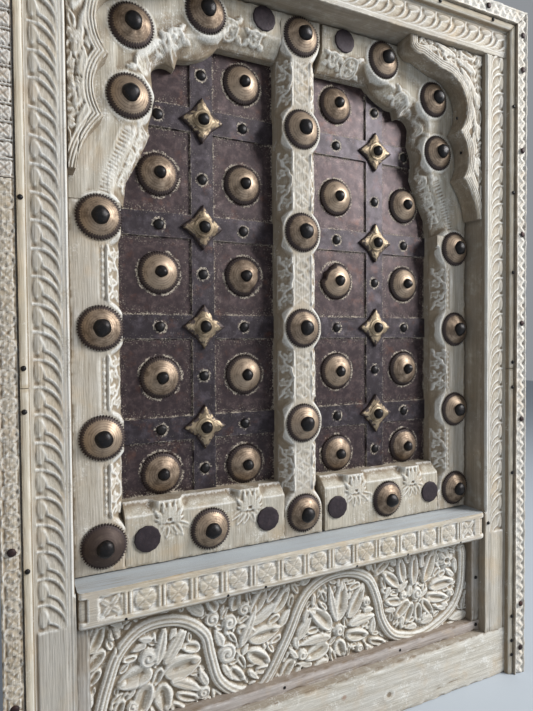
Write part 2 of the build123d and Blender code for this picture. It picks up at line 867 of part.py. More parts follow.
def build_leaf(number, side, word):
    inner_x = meeting_half if side < 0 else right_leaf_edge
    overlay_x = -meeting_half if side < 0 else right_leaf_edge
    columns = (along(side, outer_column_inset[number]), overlay_x + side * inner_column_reach[number])
    midway = (columns[0] + columns[1]) / 2
    upright_x = midway + side * strap_shift[number]
    rail_boss_x = midway + side * rail_boss_shift[number]
    rail_nails = (along(side, rail_nail_inset[number]), overlay_x + side * rail_nail_reach[number])
    strap_top = leaf_top - strap_top_drop
    far_x = side * (panel_edge + strap_tuck)
    near_x = overlay_x + strap_tuck if side < 0 else overlay_x + sheet_margin
    low_x, high_x = sorted((far_x, near_x))
    upright, crossing = strap_set(upright_x, strap_top, low_x, high_x, 0)
    upright_pocket, crossing_pocket = strap_set(upright_x, strap_top, low_x, high_x, strap_fit)
    pockets = [upright_pocket.part, crossing_pocket.part]
    finish(upright, f"{word}_upright_strap")
    finish(crossing, f"{word}_cross_straps")
    build_boards(side, word, inner_x)
    build_ledges(side, word, inner_x)
    build_sheets(side, word, upright_x, inner_x)
    build_stile(side, word, pockets)
    build_leaf_rail(side, word, overlay_x, sorted((*rail_nails, rail_boss_x)), pockets)
    build_arch(side, word, overlay_x, arch_shift[number], top_bevel_inset[number], pockets)
    if side < 0:
        build_meeting_stile(pockets)

    boss_spots = [(along(side, stile_boss_inset[number]), boss_row + row) for row in stile_boss_rows]
    boss_spots += [(rail_boss_x, boss_row)]
    boss_spots += [(along(side, inset), leaf_top - drop) for inset, drop in arch_bosses[number]]
    if side < 0:
        boss_spots += [(0, boss_row + row) for row in meeting_boss_rows]
    build_group(frame_boss, [facing(x, z, leaf_front) for x, z in boss_spots], f"{word}_frame_bosses")
    build_group(boss_nail, [facing(x, z, leaf_front - boss_height) for x, z in boss_spots], f"{word}_boss_nails")

    panel_spots = [(x, boss_row + row) for row in panel_boss_rows[:-1] for x in columns]
    panel_spots += [(columns[1], boss_row + panel_boss_rows[-1])]
    build_group(panel_boss, [facing(x, z, sheet_front) for x, z in panel_spots], f"{word}_panel_bosses")
    nail_level = sheet_front - boss_height
    nail_places = [facing(x, z, nail_level) for x, z in panel_spots]
    star_spots = [(upright_x, boss_row + row) for row in cross_strap_rows]
    nail_places += [facing(x, z, strap_front - star_height) for x, z in star_spots]
    build_group(panel_boss_nail, nail_places, f"{word}_panel_nails")
    build_group(star, [facing(x, z, strap_front) for x, z in star_spots], f"{word}_star_bosses")

    strap_spots = [(upright_x, boss_row + row) for row in panel_boss_rows]
    strap_spots += [(x, boss_row + row) for row in cross_strap_rows for x in columns]
    build_group(strap_nail, [facing(x, z, strap_front) for x, z in strap_spots], f"{word}_strap_nails")
    flat_spots = [(x, boss_row) for x in rail_nails]
    flat_spots += [(overlay_x + side * arch_nail_reach[number], leaf_top - arch_nail_drop)]
    build_group(flat_nail, [facing(x, z, leaf_front) for x, z in flat_spots], f"{word}_flat_nails")


build_leaf(0, -1, "left")
build_leaf(1, 1, "right")


# Nails of the frame

strip_spots = []
small_spots = []
batten_face = frame_front - batten_proud
for side, strip_levels, batten_levels in zip((-1, 1), strip_nail_levels, batten_nail_levels):
    batten_x = side * (strip_inner - batten_nail_radius)
    strip_spots += [(side * strip_middle, z) for z in strip_levels]
    small_spots += [facing(batten_x, z, batten_face) for z in batten_levels]
strip_spots += [(x, frame_height - strip_width / 2) for x in strip_nail_reaches]
batten_z = frame_height - strip_width - batten_nail_radius
small_spots += [facing(x, batten_z, batten_face) for x in batten_nail_reaches]
small_spots += [facing(opening_half - panel_bead / 2, z, bead_front) for z in bead_nail_levels]
small_spots += [facing(*jamb_nail, frame_front)]
build_group(strip_nail, [facing(x, z, strip_face) for x, z in strip_spots], "strip_nails")
build_group(batten_nail, small_spots, "small_nails")
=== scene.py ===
# %% [markdown]
# # A carved wooden window with iron and brass
# The real object is a small shuttered window in its own frame. The wood is carved by hand and was
# washed with lime, which has stayed in the cuts and rubbed off the high spots. The two leaves are
# clad in iron sheet, and brass bosses are nailed over both the wood and the iron.
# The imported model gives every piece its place. This script carves, hammers and colours them.

import json
import math

import bmesh
import bpy
import numpy as np
from mathutils import Euler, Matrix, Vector

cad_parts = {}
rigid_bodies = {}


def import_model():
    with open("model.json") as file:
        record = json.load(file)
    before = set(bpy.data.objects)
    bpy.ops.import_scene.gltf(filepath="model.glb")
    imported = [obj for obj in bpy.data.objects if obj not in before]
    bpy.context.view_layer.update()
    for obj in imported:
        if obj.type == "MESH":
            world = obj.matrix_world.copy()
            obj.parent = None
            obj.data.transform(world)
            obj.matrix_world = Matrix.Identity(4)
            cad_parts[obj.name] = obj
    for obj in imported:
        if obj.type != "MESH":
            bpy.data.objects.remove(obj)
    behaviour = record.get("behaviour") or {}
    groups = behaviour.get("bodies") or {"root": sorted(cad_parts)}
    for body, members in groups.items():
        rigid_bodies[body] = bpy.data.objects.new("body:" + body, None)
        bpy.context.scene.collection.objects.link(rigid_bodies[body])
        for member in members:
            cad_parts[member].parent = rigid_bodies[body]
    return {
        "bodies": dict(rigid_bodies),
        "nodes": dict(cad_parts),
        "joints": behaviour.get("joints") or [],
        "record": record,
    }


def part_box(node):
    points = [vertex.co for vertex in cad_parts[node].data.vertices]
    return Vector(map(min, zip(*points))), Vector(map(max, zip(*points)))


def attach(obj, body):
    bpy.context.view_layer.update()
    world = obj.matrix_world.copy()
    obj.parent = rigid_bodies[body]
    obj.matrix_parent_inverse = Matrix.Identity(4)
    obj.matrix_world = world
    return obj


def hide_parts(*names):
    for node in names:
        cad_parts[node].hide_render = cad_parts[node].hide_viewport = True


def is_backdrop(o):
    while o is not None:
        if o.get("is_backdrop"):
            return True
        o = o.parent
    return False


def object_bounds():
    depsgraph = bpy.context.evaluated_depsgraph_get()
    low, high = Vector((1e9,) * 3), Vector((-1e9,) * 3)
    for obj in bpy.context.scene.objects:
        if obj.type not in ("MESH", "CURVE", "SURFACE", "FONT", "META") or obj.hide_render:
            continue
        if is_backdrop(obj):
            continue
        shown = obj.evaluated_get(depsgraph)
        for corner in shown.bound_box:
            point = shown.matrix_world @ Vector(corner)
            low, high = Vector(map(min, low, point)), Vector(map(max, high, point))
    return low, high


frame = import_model()
cad_low, cad_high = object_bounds()
MM = 0.001
SIDES = ((-1, "left"), (1, "right"))
chance = np.random.default_rng(11)
print("nodes", len(frame["nodes"]), "height", round(cad_high.z, 3))

# %% [markdown]
# The sizes come from the nodes themselves, so the carving stays on its wood if a size changes.
# All lengths from here on are millimetres, and they become metres when a mesh is made.

# %% Read the main levels from the nodes


def span(node, axis):
    """The lowest and highest place of a node along an axis, in millimetres."""
    low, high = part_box(node)
    return low[axis] / MM, high[axis] / MM


half_width = span("head_rail", 0)[1]
frame_front, frame_back = span("bottom_rail", 1)
soffit, frame_height = span("head_rail", 2)
rail_top = span("bottom_rail", 2)[1]
opening_half = span("sill", 0)[1]
sill_bottom, sill_top = span("sill", 2)
bead_front, panel_face = span("panel_bead_left", 1)
panel_back = span("lower_panel", 1)[1]
bead_inner = span("panel_bead_right", 0)[0]
bead_top = span("panel_bead_bottom", 2)[1]
strip_inner = span("strip_right", 0)[0]
strip_face = span("strip_right", 1)[0]
batten_inner = span("batten_right_lower", 0)[0]
batten_face = span("batten_right_lower", 1)[0]
leaf_front, sheet_front = span("left_leaf_rail", 1)
strap_front = span("left_upright_strap", 1)[0]
board_front = span("left_iron_sheets", 1)[1]
print("opening", round(2 * opening_half), "by", round(soffit - sill_top))


def solids_of(node):
    """The lowest and highest corner of each separate solid of a node, in millimetres."""
    bm = bmesh.new()
    bm.from_mesh(frame["nodes"][node].data)
    bmesh.ops.remove_doubles(bm, verts=bm.verts, dist=0.00001)
    seen = set()
    found = []
    for start in bm.verts:
        if start in seen:
            continue
        seen.add(start)
        heap = [start]
        island = []
        while heap:
            vert = heap.pop()
            island.append(vert.co / MM)
            for edge in vert.link_edges:
                other = edge.other_vert(vert)
                if other not in seen:
                    seen.add(other)
                    heap.append(other)
        places = np.array(island)
        found.append((places.min(0), places.max(0)))
    bm.free()
    return found


def centres_of(node):
    """The middle of each solid of a node, as x and z, and the level of its back."""
    return [((low[0] + high[0]) / 2, (low[2] + high[2]) / 2, high[1]) for low, high in solids_of(node)]


def size_of(node):
    """The radius and the height of a node's first solid."""
    low, high = solids_of(node)[0]
    return (high[0] - low[0]) / 2, high[1] - low[1]


# %% [markdown]
# ## A board that can be carved
# A carver starts from a flat board and takes wood away. Here the front of a board is a fine grid,
# made by create_grid, whose points are then moved back or forward in code. Sculpting by hand would
# look as good, but it can't be repeated, and a displacement texture would be lost in the export.
# The grid's border is extruded to the back of the board, so each board is a closed solid.

# %% Grids for straight and curved boards


def cuts(start, *runs):
    """Places along a line. Each run is its end and about how far apart its places are."""
    places = [start]
    for end, pitch in runs:
        count = max(1, round(abs(end - places[-1]) / pitch))
        places += list(np.linspace(places[-1], end, count + 1)[1:])
    return np.array(places)


def smooth(low, high, value):
    """Rises softly from 0 to 1 between two values."""
    share = np.clip((value - low) / (high - low), 0, 1)
    return share * share * (3 - 2 * share)


def hump(gap, width):
    """1 where the gap is 0, and falling softly to 0 over about the width."""
    return np.exp(-((gap / width) ** 2))


def round_top(share):
    """A round section, 1 in the middle and 0 where the share reaches 1."""
    return np.sqrt(np.clip(1 - share ** 2, 0, 1))


def aim(degrees):
    """The cosine and the sine of a direction."""
    return math.cos(math.radians(degrees)), math.sin(math.radians(degrees))


def ripple(x, z, size, seed):
    """Smooth unevenness of about -1 to 1, in waves of about the given size."""
    waves = np.random.default_rng(seed)
    total = np.zeros_like(x)
    for _ in range(10):
        turn, phase = waves.uniform(0, 2 * math.pi, 2)
        length = size * waves.uniform(0.6, 1.7)
        along = x * math.cos(turn) + z * math.sin(turn)
        total += np.sin(along * 2 * math.pi / length + phase)
    return total / 4


def blurred(values, rounds):
    """Evens out a grid of values, a little in each round."""
    for _ in range(rounds):
        wide = np.pad(values, 1, mode="edge")
        values = (2 * values + wide[:-2, 1:-1] + wide[2:, 1:-1] + wide[1:-1, :-2] + wide[1:-1, 2:]) / 6
    return values


def distance_to(line, x, z):
    """How far each point lies from a line of short runs, and the share of the line it is nearest to."""
    nearest = np.full(x.shape, 1e6)
    share = np.zeros(x.shape)
    for i, ((ax, az), (bx, bz)) in enumerate(zip(line, line[1:])):
        dx, dz = bx - ax, bz - az
        t = np.clip(((x - ax) * dx + (z - az) * dz) / (dx * dx + dz * dz + 1e-9), 0, 1)
        gap = np.hypot(x - ax - t * dx, z - az - t * dz)
        closer = gap < nearest
        nearest[closer] = gap[closer]
        share[closer] = (i + t[closer]) / (len(line) - 1)
    return nearest, share


def smooth_line(points, runs=8):
    """A curve through given points, as short straight runs."""
    padded = [points[0], *points, points[-1]]
    line = []
    for a, b, c, d in zip(padded, padded[1:], padded[2:], padded[3:]):
        for step in range(runs):
            t = step / runs
            line.append(tuple(
                0.5 * (2 * q + (r - p) * t + (2 * p - 5 * q + 4 * r - s) * t * t
                       + (3 * q - p - 3 * r + s) * t ** 3)
                for p, q, r, s in zip(a, b, c, d)
            ))
    return line + [points[-1]]


class Carving:
    """The front of a board while it is carved: where its points are, and how high the wood stands."""

    def __init__(self, columns, rows=None):
        self.x, self.z = columns if rows is None else np.meshgrid(columns, rows)
        self.base, self.ornament, self.lime, self.dirt, self.rust = [np.zeros_like(self.x) for _ in range(5)]
        self.closed = np.zeros(self.x.shape, bool)

    def edge(self):
        """The distance of each point from the border of the board, along its row or column."""
        gaps = []
        for line in (np.s_[:1], np.s_[-1:], np.s_[:, :1], np.s_[:, -1:]):
            gaps.append(np.hypot(self.x - self.x[line], self.z - self.z[line]))
        return np.minimum.reduce(gaps)

    def whiten(self, lime):
        """Adds lime where there is less."""
        self.lime = np.maximum(self.lime, lime)

    def stamp(self, x, z, turn, reach, motif):
        """Carves a motif at a place. turn is in degrees."""
        near = (np.abs(self.x - x) < reach) & (np.abs(self.z - z) < reach)
        if not near.any():
            return
        dx, dz = self.x[near] - x, self.z[near] - z
        c, s = aim(turn)
        height, lime = motif(dx * c + dz * s, dz * c - dx * s)
        self.ornament[near] = np.maximum(self.ornament[near], height)
        self.lime[near] = np.maximum(self.lime[near], lime)

    def lay(self, shape, foot, tip, width, height, bend, spare):
        """Carves a leaf from its foot to its tip."""
        dx, dz = tip[0] - foot[0], tip[1] - foot[1]
        length = math.hypot(dx, dz)
        turn = math.degrees(math.atan2(dz, dx))
        self.stamp(*foot, turn, length + spare, shape(length, width, height, bend))

    def room(self, x, z, most):
        """How far a place is from the next carving or closed part, up to a most."""
        near = (np.abs(self.x - x) < most) & (np.abs(self.z - z) < most)
        if not near.any():
            return 0.0
        taken = near & ((self.ornament > 0.3) | self.closed)
        return min([most, *np.hypot(self.x[taken] - x, self.z[taken] - z)])

    def fill(self, pitch, least, most, height, seed):
        """Fills the free ground with bent leaves, each laid along the longest free way."""
        pick = np.random.default_rng(seed)
        across, up = (np.arange(places.min(), places.max(), pitch) for places in (self.x, self.z))
        spots = np.array([(x, z) for x in across for z in up])
        spots += pick.uniform(-0.5, 0.5, spots.shape) * pitch
        for x, z in pick.permutation(spots):
            free = self.room(x, z, most)
            if free < least:
                continue
            ways = []
            for turn in pick.uniform(0, 180) + np.arange(0, 180, 30):
                c, s = (free * value for value in aim(turn))
                ahead, behind = self.room(x + c, z + s, most), self.room(x - c, z - s, most)
                ways.append((ahead + behind, turn, ahead, behind))
            _, turn, ahead, behind = max(ways)
            c, s = aim(turn)
            back = free + behind
            length = back + free + ahead
            shape = cup if pick.random() < 0.6 else leaf
            grown = shape(length, 1.75 * free, height * pick.uniform(0.8, 1.1), pick.choice([-0.16, 0.16]))
            self.stamp(x - c * back, z - s * back, turn, length + 2, grown)

    def stain(self, x, z, radius):
        """Lets rust or sap run round a place."""
        away = np.hypot(self.x - x, (self.z - z) * 0.8)
        self.rust = np.maximum(self.rust, hump(away, radius))

    def cut(self, line, width, depth):
        """Cuts a narrow groove or an old split along a line."""
        gap, share = distance_to(line, self.x, self.z)
        taper = np.sin(math.pi * np.clip(share, 0.03, 0.97)) ** 0.5
        self.base -= depth * taper * np.clip(1 - gap / (width * taper), 0, 1)

    def wear(self, depth, reach, seed):
        """Rounds the border off, and lets the whole face swell and dip a little."""
        edge = self.edge()
        rough = 1 + 0.7 * ripple(self.x, self.z, 28, seed) + 0.5 * ripple(self.x, self.z, 7, seed + 1)
        self.base -= depth * np.clip(rough, 0.15, 3) * hump(edge, reach)
        self.base += 0.12 * ripple(self.x, self.z, 35, seed + 2)


triangle_counts = {}


def tell(stage):
    """Prints how many triangles the pieces have so far."""
    print(stage, sum(triangle_counts.values()))


def mesh_from(bm, name):
    """A mesh of the given form, which is then let go."""
    mesh = bpy.data.meshes.new(name)
    bm.to_mesh(mesh)
    bm.free()
    return mesh


def new_object(name, data):
    """An object in the scene, for a mesh, a light or a camera."""
    made = bpy.data.objects.new(name, data)
    bpy.context.scene.collection.objects.link(made)
    return made


def new_piece(name, mesh):
    """An object for a mesh, counted with the others."""
    mesh.update()
    triangle_counts[name] = sum(len(face.vertices) - 2 for face in mesh.polygons)
    return new_object(name, mesh)


def paint(piece, material):
    """Gives a piece one material."""
    piece.data.materials.clear()
    piece.data.materials.append(material)


def finish_piece(piece, body, nodes, material):
    """Gives a piece its material, its body and the nodes that it stands for."""
    paint(piece, material)
    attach(piece, body)
    if nodes:
        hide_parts(*nodes)


def points_of(mesh):
    """The places of a mesh's points, one row each."""
    places = np.empty(len(mesh.vertices) * 3, np.float32)
    mesh.vertices.foreach_get("co", places)
    return places.reshape(-1, 3).astype(float)


def set_values(mesh, name, values):
    """Stores one number for each point of a mesh."""
    attribute = mesh.attributes.new(name, "FLOAT", "POINT")
    attribute.data.foreach_set("value", np.ascontiguousarray(values, np.float32).ravel())


# How far behind the front the side walls get their second row of points, and how much painted shade they get.
LIP = 2.5
SIDE_SHADE = 1.1


def make_board(name, carving, face, back):
    """A closed board whose front is the carved grid. face is the level of its uncut front."""
    rows, columns = carving.x.shape
    bm = bmesh.new()
    bmesh.ops.create_grid(bm, x_segments=columns - 1, y_segments=rows - 1, size=1)
    border = [edge for edge in bm.edges if edge.is_boundary]
    for _ in ("lip", "back"):
        wall = bmesh.ops.extrude_edge_only(bm, edges=border)["geom"]
        ring = [item for item in wall if isinstance(item, bmesh.types.BMVert)]
        bmesh.ops.translate(bm, verts=ring, vec=(0, 0, -1))
        border = [item for item in wall if isinstance(item, bmesh.types.BMEdge) and item.is_boundary]
    bmesh.ops.contextual_create(bm, geom=border)
    bmesh.ops.recalc_face_normals(bm, faces=bm.faces)
    mesh = mesh_from(bm, name)
    places = points_of(mesh)
    column = np.rint((places[:, 0] + 1) / 2 * (columns - 1)).astype(int)
    row = np.rint((places[:, 1] + 1) / 2 * (rows - 1)).astype(int)
    behind = places[:, 2] < -0.5
    height = blurred(carving.base + carving.ornament, 1)
    levels = face - height[row, column]
    lip = np.minimum(levels + LIP, (levels + back) / 2)
    levels = np.where(places[:, 2] < -1.5, back, np.where(behind, lip, levels))
    moved = np.stack([carving.x[row, column], levels, carving.z[row, column]], 1) * MM
    mesh.vertices.foreach_set("co", moved.astype(np.float32).ravel())
    across = np.gradient(carving.x, axis=1) * np.gradient(carving.z, axis=0)
    across -= np.gradient(carving.x, axis=0) * np.gradient(carving.z, axis=1)
    if across.sum() < 0:
        mesh.flip_normals()
    cavity = blurred(height, 4) - height
    hollow = blurred(height, 40) - height
    # The hollow mask also carries the painted shade that the carving asked for, as on the bevels.
    grids = {"cavity": cavity, "hollow": hollow + carving.dirt, "rust": carving.rust, "lime": carving.lime}
    for label, grid in grids.items():
        # The side walls get a fixed amount in the hollow mask, which paints shade on them.
        at_side = SIDE_SHADE if label == "hollow" else 0
        set_values(mesh, label, np.where(behind, at_side, grid[row, column]))
    mesh.shade_smooth()
    mesh.set_sharp_from_angle(angle=math.radians(60))
    return new_piece(name, mesh)


def frame_board(name, carving, face, back, node, material):
    """A carved board of the frame."""
    finish_piece(make_board(name, carving, face, back), "frame", [node], material)


def leaf_board(name, carving, word, node, material):
    """A carved board on the front of a leaf."""
    piece = make_board(name, carving, leaf_front, sheet_front)
    finish_piece(piece, f"{word}_leaf", [node], material)


# %% [markdown]
# ## Motifs
# The carver repeats a few forms: veined and cupped leaves, flowers, volutes, rings, crossed squares,
# cut discs and pieces of vine. Each is a function of the place within the motif, which gives the
# height of the wood and how much lime has stayed there. Stamping them, turned and sized one by one,
# keeps the carving irregular, as it is.

# %% Leaves, flowers, squares, discs and vine


def leaf(length, width, height, bend=0.0):
    """A crowned leaf that starts at the origin and bends to one side, with a groove along its vein."""
    def motif(u, v):
        t = np.clip(u / length, 0, 1)
        v = v - bend * length * t * t
        half = np.maximum(width / 2 * np.sin(math.pi * t ** 0.72) ** 0.75, 0.01)
        across = np.abs(v) / half
        inside = (u > 0) & (u < length) & (across < 1)
        crown = round_top(across)
        vein = hump(v, 1.0) * smooth(0.05, 0.3, t) * smooth(1.0, 0.7, t)
        body = height * (0.35 + 0.65 * crown) - 0.4 * height * vein
        lime = np.maximum(0.6 * vein, 0.6 * smooth(0.75, 1.0, across))
        return np.where(inside, body, 0), np.where(inside, lime, 0)
    return motif


def cup(length, width, height, bend=0.0):
    """A cupped leaf: hollow in the middle, with one side rolled up and a small curl at its tip."""
    def motif(u, v):
        t = np.clip(u / length, 0, 1)
        v = v - bend * length * t * t
        half = np.maximum(width / 2 * np.sin(math.pi * t ** 0.8) ** 0.6, 0.01)
        side = v / half
        inside = (u > 0) & (u < length) & (np.abs(side) < 1)
        from_side = (1 - np.abs(side)) * half
        roll = hump(side - 0.62, 0.24)
        dish = hump(side + 0.08, 0.4) * smooth(0.05, 0.3, t)
        knob = np.sqrt(np.clip(1 - ((t - 0.84) / 0.13) ** 2 - ((side - 0.2) / 0.55) ** 2, 0, 1))
        body = height * np.maximum(0.58 + 0.5 * roll - 0.42 * dish, 0.95 * knob)
        body *= smooth(0, 1.3, from_side + 0.2)
        lime = np.maximum(0.45 * roll * smooth(0.2, 0.4, t), 0.6 * hump(from_side - 0.9, 0.6))
        return np.where(inside, body, 0), np.where(inside, lime, 0)
    return motif


def scroll_flower(radius, height, petals, stretch):
    """Petals inside an oval of two lines, as on the arches. stretch lengthens it along u."""
    def motif(u, v):
        u = u / stretch
        r = np.hypot(u, v)
        angle = np.arctan2(v, u) - math.radians(30)
        outer = hump(r - 0.9 * radius, 1.0)
        inner = hump(r - 0.66 * radius, 0.8)
        lobe = np.abs(np.cos(angle * petals / 2))
        share = r / (radius * 0.6 * (0.5 + 0.5 * lobe))
        petal = round_top(share) * (0.5 + 0.5 * lobe)
        body = height * np.maximum.reduce([outer, 0.8 * inner, petal, 0.25 * (r < radius)])
        lime = 0.6 * np.maximum.reduce([outer, 0.7 * inner, smooth(0.7, 1.0, share) * (share < 1.2)])
        inside = r < radius * 1.05
        return np.where(inside, body, 0), np.where(inside, lime, 0)
    return motif


def vine_tile(half_length, half_width, height, hand=1):
    """A piece of winding vine: the stem crosses the tile and a lobed leaf lies on each side of it."""
    def motif(u, v):
        phase = 40 * height
        along = (u + 1.2 * np.sin(0.55 * v + phase)) / half_length
        across = hand * (v + 0.9 * np.sin(0.5 * u + 2 * phase)) / half_width
        path = -0.85 * np.cos(0.5 * math.pi * (np.clip(along, -1, 1) + 1))
        stem = hump(across - path, 0.2)
        leaves, rims = np.zeros_like(u), np.zeros_like(u)
        for middle, turn in ((-0.46, 1), (0.46, -1)):
            du, dv = (along - middle) * half_length, (across - turn * 0.4) * half_width
            angle = np.arctan2(dv, du)
            lobes = 0.76 + 0.24 * np.cos(5 * angle + phase)
            r = np.hypot(du, dv) / (0.8 * half_width * lobes)
            rim = hump(r - 0.86, 0.2)
            heart = hump(np.hypot(du, dv), 1.5)
            leaves = np.maximum.reduce([leaves, rim, 0.9 * heart, 0.55 * (r < 0.86)])
            rims = np.maximum(rims, rim)
        beside = hump(np.abs(v / half_width) - 0.95, 0.07)
        body = height * np.maximum.reduce([stem, 0.95 * leaves, 0.75 * beside])
        lime = np.maximum.reduce([0.6 * stem, 0.6 * rims, 0.5 * beside])
        inside = (np.abs(u) < half_length) & (np.abs(v) < half_width)
        return np.where(inside, body, 0), np.where(inside, lime, 0)
    return motif


def crossed_square(half, height):
    """A square with an X of four petals, cut by two dark lines."""
    def motif(u, v):
        side = np.maximum(np.abs(u), np.abs(v))
        cross = np.minimum(np.abs(u - v), np.abs(u + v)) / 1.414
        along = np.hypot(u, v) / (half * 1.2)
        petal = round_top(cross / (3.2 * np.sin(math.pi * np.clip(along, 0.02, 0.98)) + 0.2))
        body = height * (0.3 + 0.7 * petal - 0.8 * hump(cross, 0.8) * (along < 0.9))
        inside = side < half
        frame = hump(side - half + 0.4, 0.7)
        body = np.where(inside, np.maximum(body, height * 0.85 * frame), 0)
        return body, np.where(inside, np.maximum(frame, 0.6 * (petal > 0) * (petal < 0.5)), 0)
    return motif


def cut_disc(radius, height, spread):
    """A low disc cut by an X of notches and by a diamond. spread is how far out the diamond lies."""
    def motif(u, v):
        r = np.hypot(u, v) / radius
        notch = hump(np.minimum(np.abs(u), np.abs(v)), 0.5 + 0.7 * r) * (r > 0.08)
        diamond = hump(np.abs(u + v) / 1.414 - spread * radius, 0.8)
        disc = smooth(1.04, 0.93, r)
        cuts_in = np.maximum(notch, 0.7 * diamond) * disc
        body = height * disc * (0.8 + 0.2 * np.cos(1.3 * r)) - 0.55 * height * cuts_in
        # A painted highlight: the pale crescent along one side of the disc's edge.
        edge = hump(r - 1.0, 0.07) * smooth(-0.3, 0.6, (u + v) / radius)
        beside = hump(np.minimum(np.abs(u), np.abs(v)) - 1.6, 0.6) * (r < 0.9)
        return body, np.maximum.reduce([0.8 * edge, 0.45 * beside, 0.9 * (r > 1.02) * (r < 1.35)])
    return motif


def volute(radius, height, turns=1.5, hand=1):
    """A coil cut into a low dome."""
    def motif(u, v):
        r = np.hypot(u, v)
        coil = (r / radius * turns - hand * np.arctan2(v, u) / (2 * math.pi)) % 1
        groove = hump(np.minimum(coil, 1 - coil) * radius / turns, 0.9)
        body = height * (0.55 + 0.45 * round_top(r / radius)) - 0.55 * height * groove
        inside = r < radius
        lime = np.maximum(0.8 * groove, smooth(0.85, 1.0, r / radius))
        return np.where(inside, body, 0), np.where(inside, lime, 0)
    return motif


def flower(radius, height, petals, start, rim=0.0):
    """A flower of rounded petals round a button. rim is the radius of a ring round it, if any."""
    def motif(u, v):
        r = np.hypot(u, v)
        angle = np.arctan2(v, u) - math.radians(start)
        lobe = np.abs(np.cos(angle * petals / 2))
        share = r / (radius * (0.55 + 0.45 * lobe))
        body = height * round_top(share) * (0.45 + 0.55 * lobe)
        fold = hump(lobe, 0.16) * (share < 1)
        button = height * 0.9 * round_top(r / (radius * 0.22))
        body = np.maximum(body - 0.3 * height * (r < radius * 0.9) * (lobe > 0.96), button)
        lime = np.maximum(0.8 * fold, smooth(0.75, 1.0, share) * (share < 1.15))
        if rim:
            ring_line = hump(r - rim, 0.9)
            body = np.maximum(body, height * 0.8 * ring_line)
            lime = np.maximum(lime, 0.5 * ring_line)
        return np.where(r < max(radius, rim) + 2, np.maximum(body, 0), 0), lime
    return motif


def ring(radius, width, height):
    """A raised ring."""
    def motif(u, v):
        line = np.clip(1 - np.abs(np.hypot(u, v) - radius) / width, 0, 1) ** 0.5
        return height * line, 0.6 * (line > 0) * (line < 0.6)
    return motif


def arc(first, middle, last, count=14):
    """Points on the circle through three points."""
    (ax, az), (bx, bz), (cx, cz) = first, middle, last
    scale = 2 * (ax * (bz - cz) + bx * (cz - az) + cx * (az - bz))
    a2, b2, c2 = ax * ax + az * az, bx * bx + bz * bz, cx * cx + cz * cz
    ox = (a2 * (bz - cz) + b2 * (cz - az) + c2 * (az - bz)) / scale
    oz = (a2 * (cx - bx) + b2 * (ax - cx) + c2 * (bx - ax)) / scale
    start = math.atan2(az - oz, ax - ox)
    passing = (math.atan2(bz - oz, bx - ox) - start) % (2 * math.pi)
    sweep = (math.atan2(cz - oz, cx - ox) - start) % (2 * math.pi)
    if passing > sweep:
        sweep -= 2 * math.pi
    radius = math.hypot(ax - ox, az - oz)
    angles = [start + sweep * i / count for i in range(count + 1)]
    return [(ox + radius * math.cos(a), oz + radius * math.sin(a)) for a in angles]


def spaced(points, pitch):
    """The same line with even steps, as an array, and the share of its length at each point."""
    points = np.array(points, float)
    steps = np.hypot(*np.diff(points, axis=0).T)
    keep = np.concatenate([[True], steps > 1e-6])
    points = points[keep]
    length = np.concatenate([[0], np.cumsum(np.hypot(*np.diff(points, axis=0).T))])
    places = np.linspace(0, length[-1], max(2, round(length[-1] / pitch) + 1))
    line = np.stack([np.interp(places, length, points[:, 0]), np.interp(places, length, points[:, 1])], 1)
    return line, places / length[-1]


# %% [markdown]
# ## Materials
# Three effects come back in many finishes: the fibres of the wood, the lime in its cuts with a painted
# highlight on its ridges, and the painted shade and stains in its hollows. Each is a node group, built once,
# and so are the metals' patina and hammered surface. The groups only give masks and heights, and every
# material keeps its own shader.
# A signal stands for the output of a node, so masks and heights are reckoned with like numbers.

# %% Helpers for nodes


def add_node(tree, kind, settings=None, **inputs):
    """A new node with its settings, and with its sockets set or linked."""
    made = tree.nodes.new(kind)
    for key, value in (settings or {}).items():
        setattr(made, key, value)
    for key, value in inputs.items():
        put(value, made.inputs[key.replace("_", " ")])
    return made


def put(value, socket):
    """Links a signal to a socket, or sets the socket's value."""
    if isinstance(value, Signal):
        socket.id_data.links.new(value.socket, socket)
    else:
        socket.default_value = value


def rgb(red, green, blue):
    """A screen colour, from 0 to 255, in the linear values that nodes use."""
    shares = [c / 255 for c in (red, green, blue)]
    return (*[s / 12.92 if s < 0.04045 else ((s + 0.055) / 1.055) ** 2.4 for s in shares], 1)


class Signal:
    """The output of a node. Each sum or mix with it adds a node and gives a new signal."""

    def __init__(self, socket):
        self.socket = socket
        self.tree = socket.id_data

    def maths(self, operation, first, second=0.0):
        """One step of arithmetic, as a new node."""
        made = self.tree.nodes.new("ShaderNodeMath")
        made.operation = operation
        put(first, made.inputs[0])
        put(second, made.inputs[1])
        return Signal(made.outputs[0])

    def __mul__(self, other):
        return self.maths("MULTIPLY", self, other)

    def __add__(self, other):
        return self.maths("ADD", self, other)

    def __sub__(self, other):
        return self.maths("SUBTRACT", self, other)

    def __rsub__(self, other):
        return self.maths("SUBTRACT", other, self)

    def __or__(self, other):
        """The larger of the two."""
        return self.maths("MAXIMUM", self, other)

    def __abs__(self):
        return self.maths("ABSOLUTE", self)

    def grade(self, low, high):
        """A mask that rises from 0 to 1 between two values, with soft ends."""
        soft = {"interpolation_type": "SMOOTHSTEP"}
        made = add_node(self.tree, "ShaderNodeMapRange", soft, Value=self, From_Min=low, From_Max=high)
        return Signal(made.outputs["Result"])

    def mix(self, first, second):
        """The second colour laid over the first, with the signal as the mask."""
        made = add_node(self.tree, "ShaderNodeMix", {"data_type": "RGBA"})
        for number, value in ((0, self), (6, first), (7, second)):
            put(rgb(*value) if isinstance(value, tuple) else value, made.inputs[number])
        return Signal(made.outputs[2])

    def noise(self, scale, detail, roughness):
        """Cloudy noise at the place that the signal gives. scale is waves to a metre."""
        inputs = {"Vector": self, "Scale": scale, "Detail": detail, "Roughness": roughness}
        return Signal(add_node(self.tree, "ShaderNodeTexNoise", **inputs).outputs["Fac"])


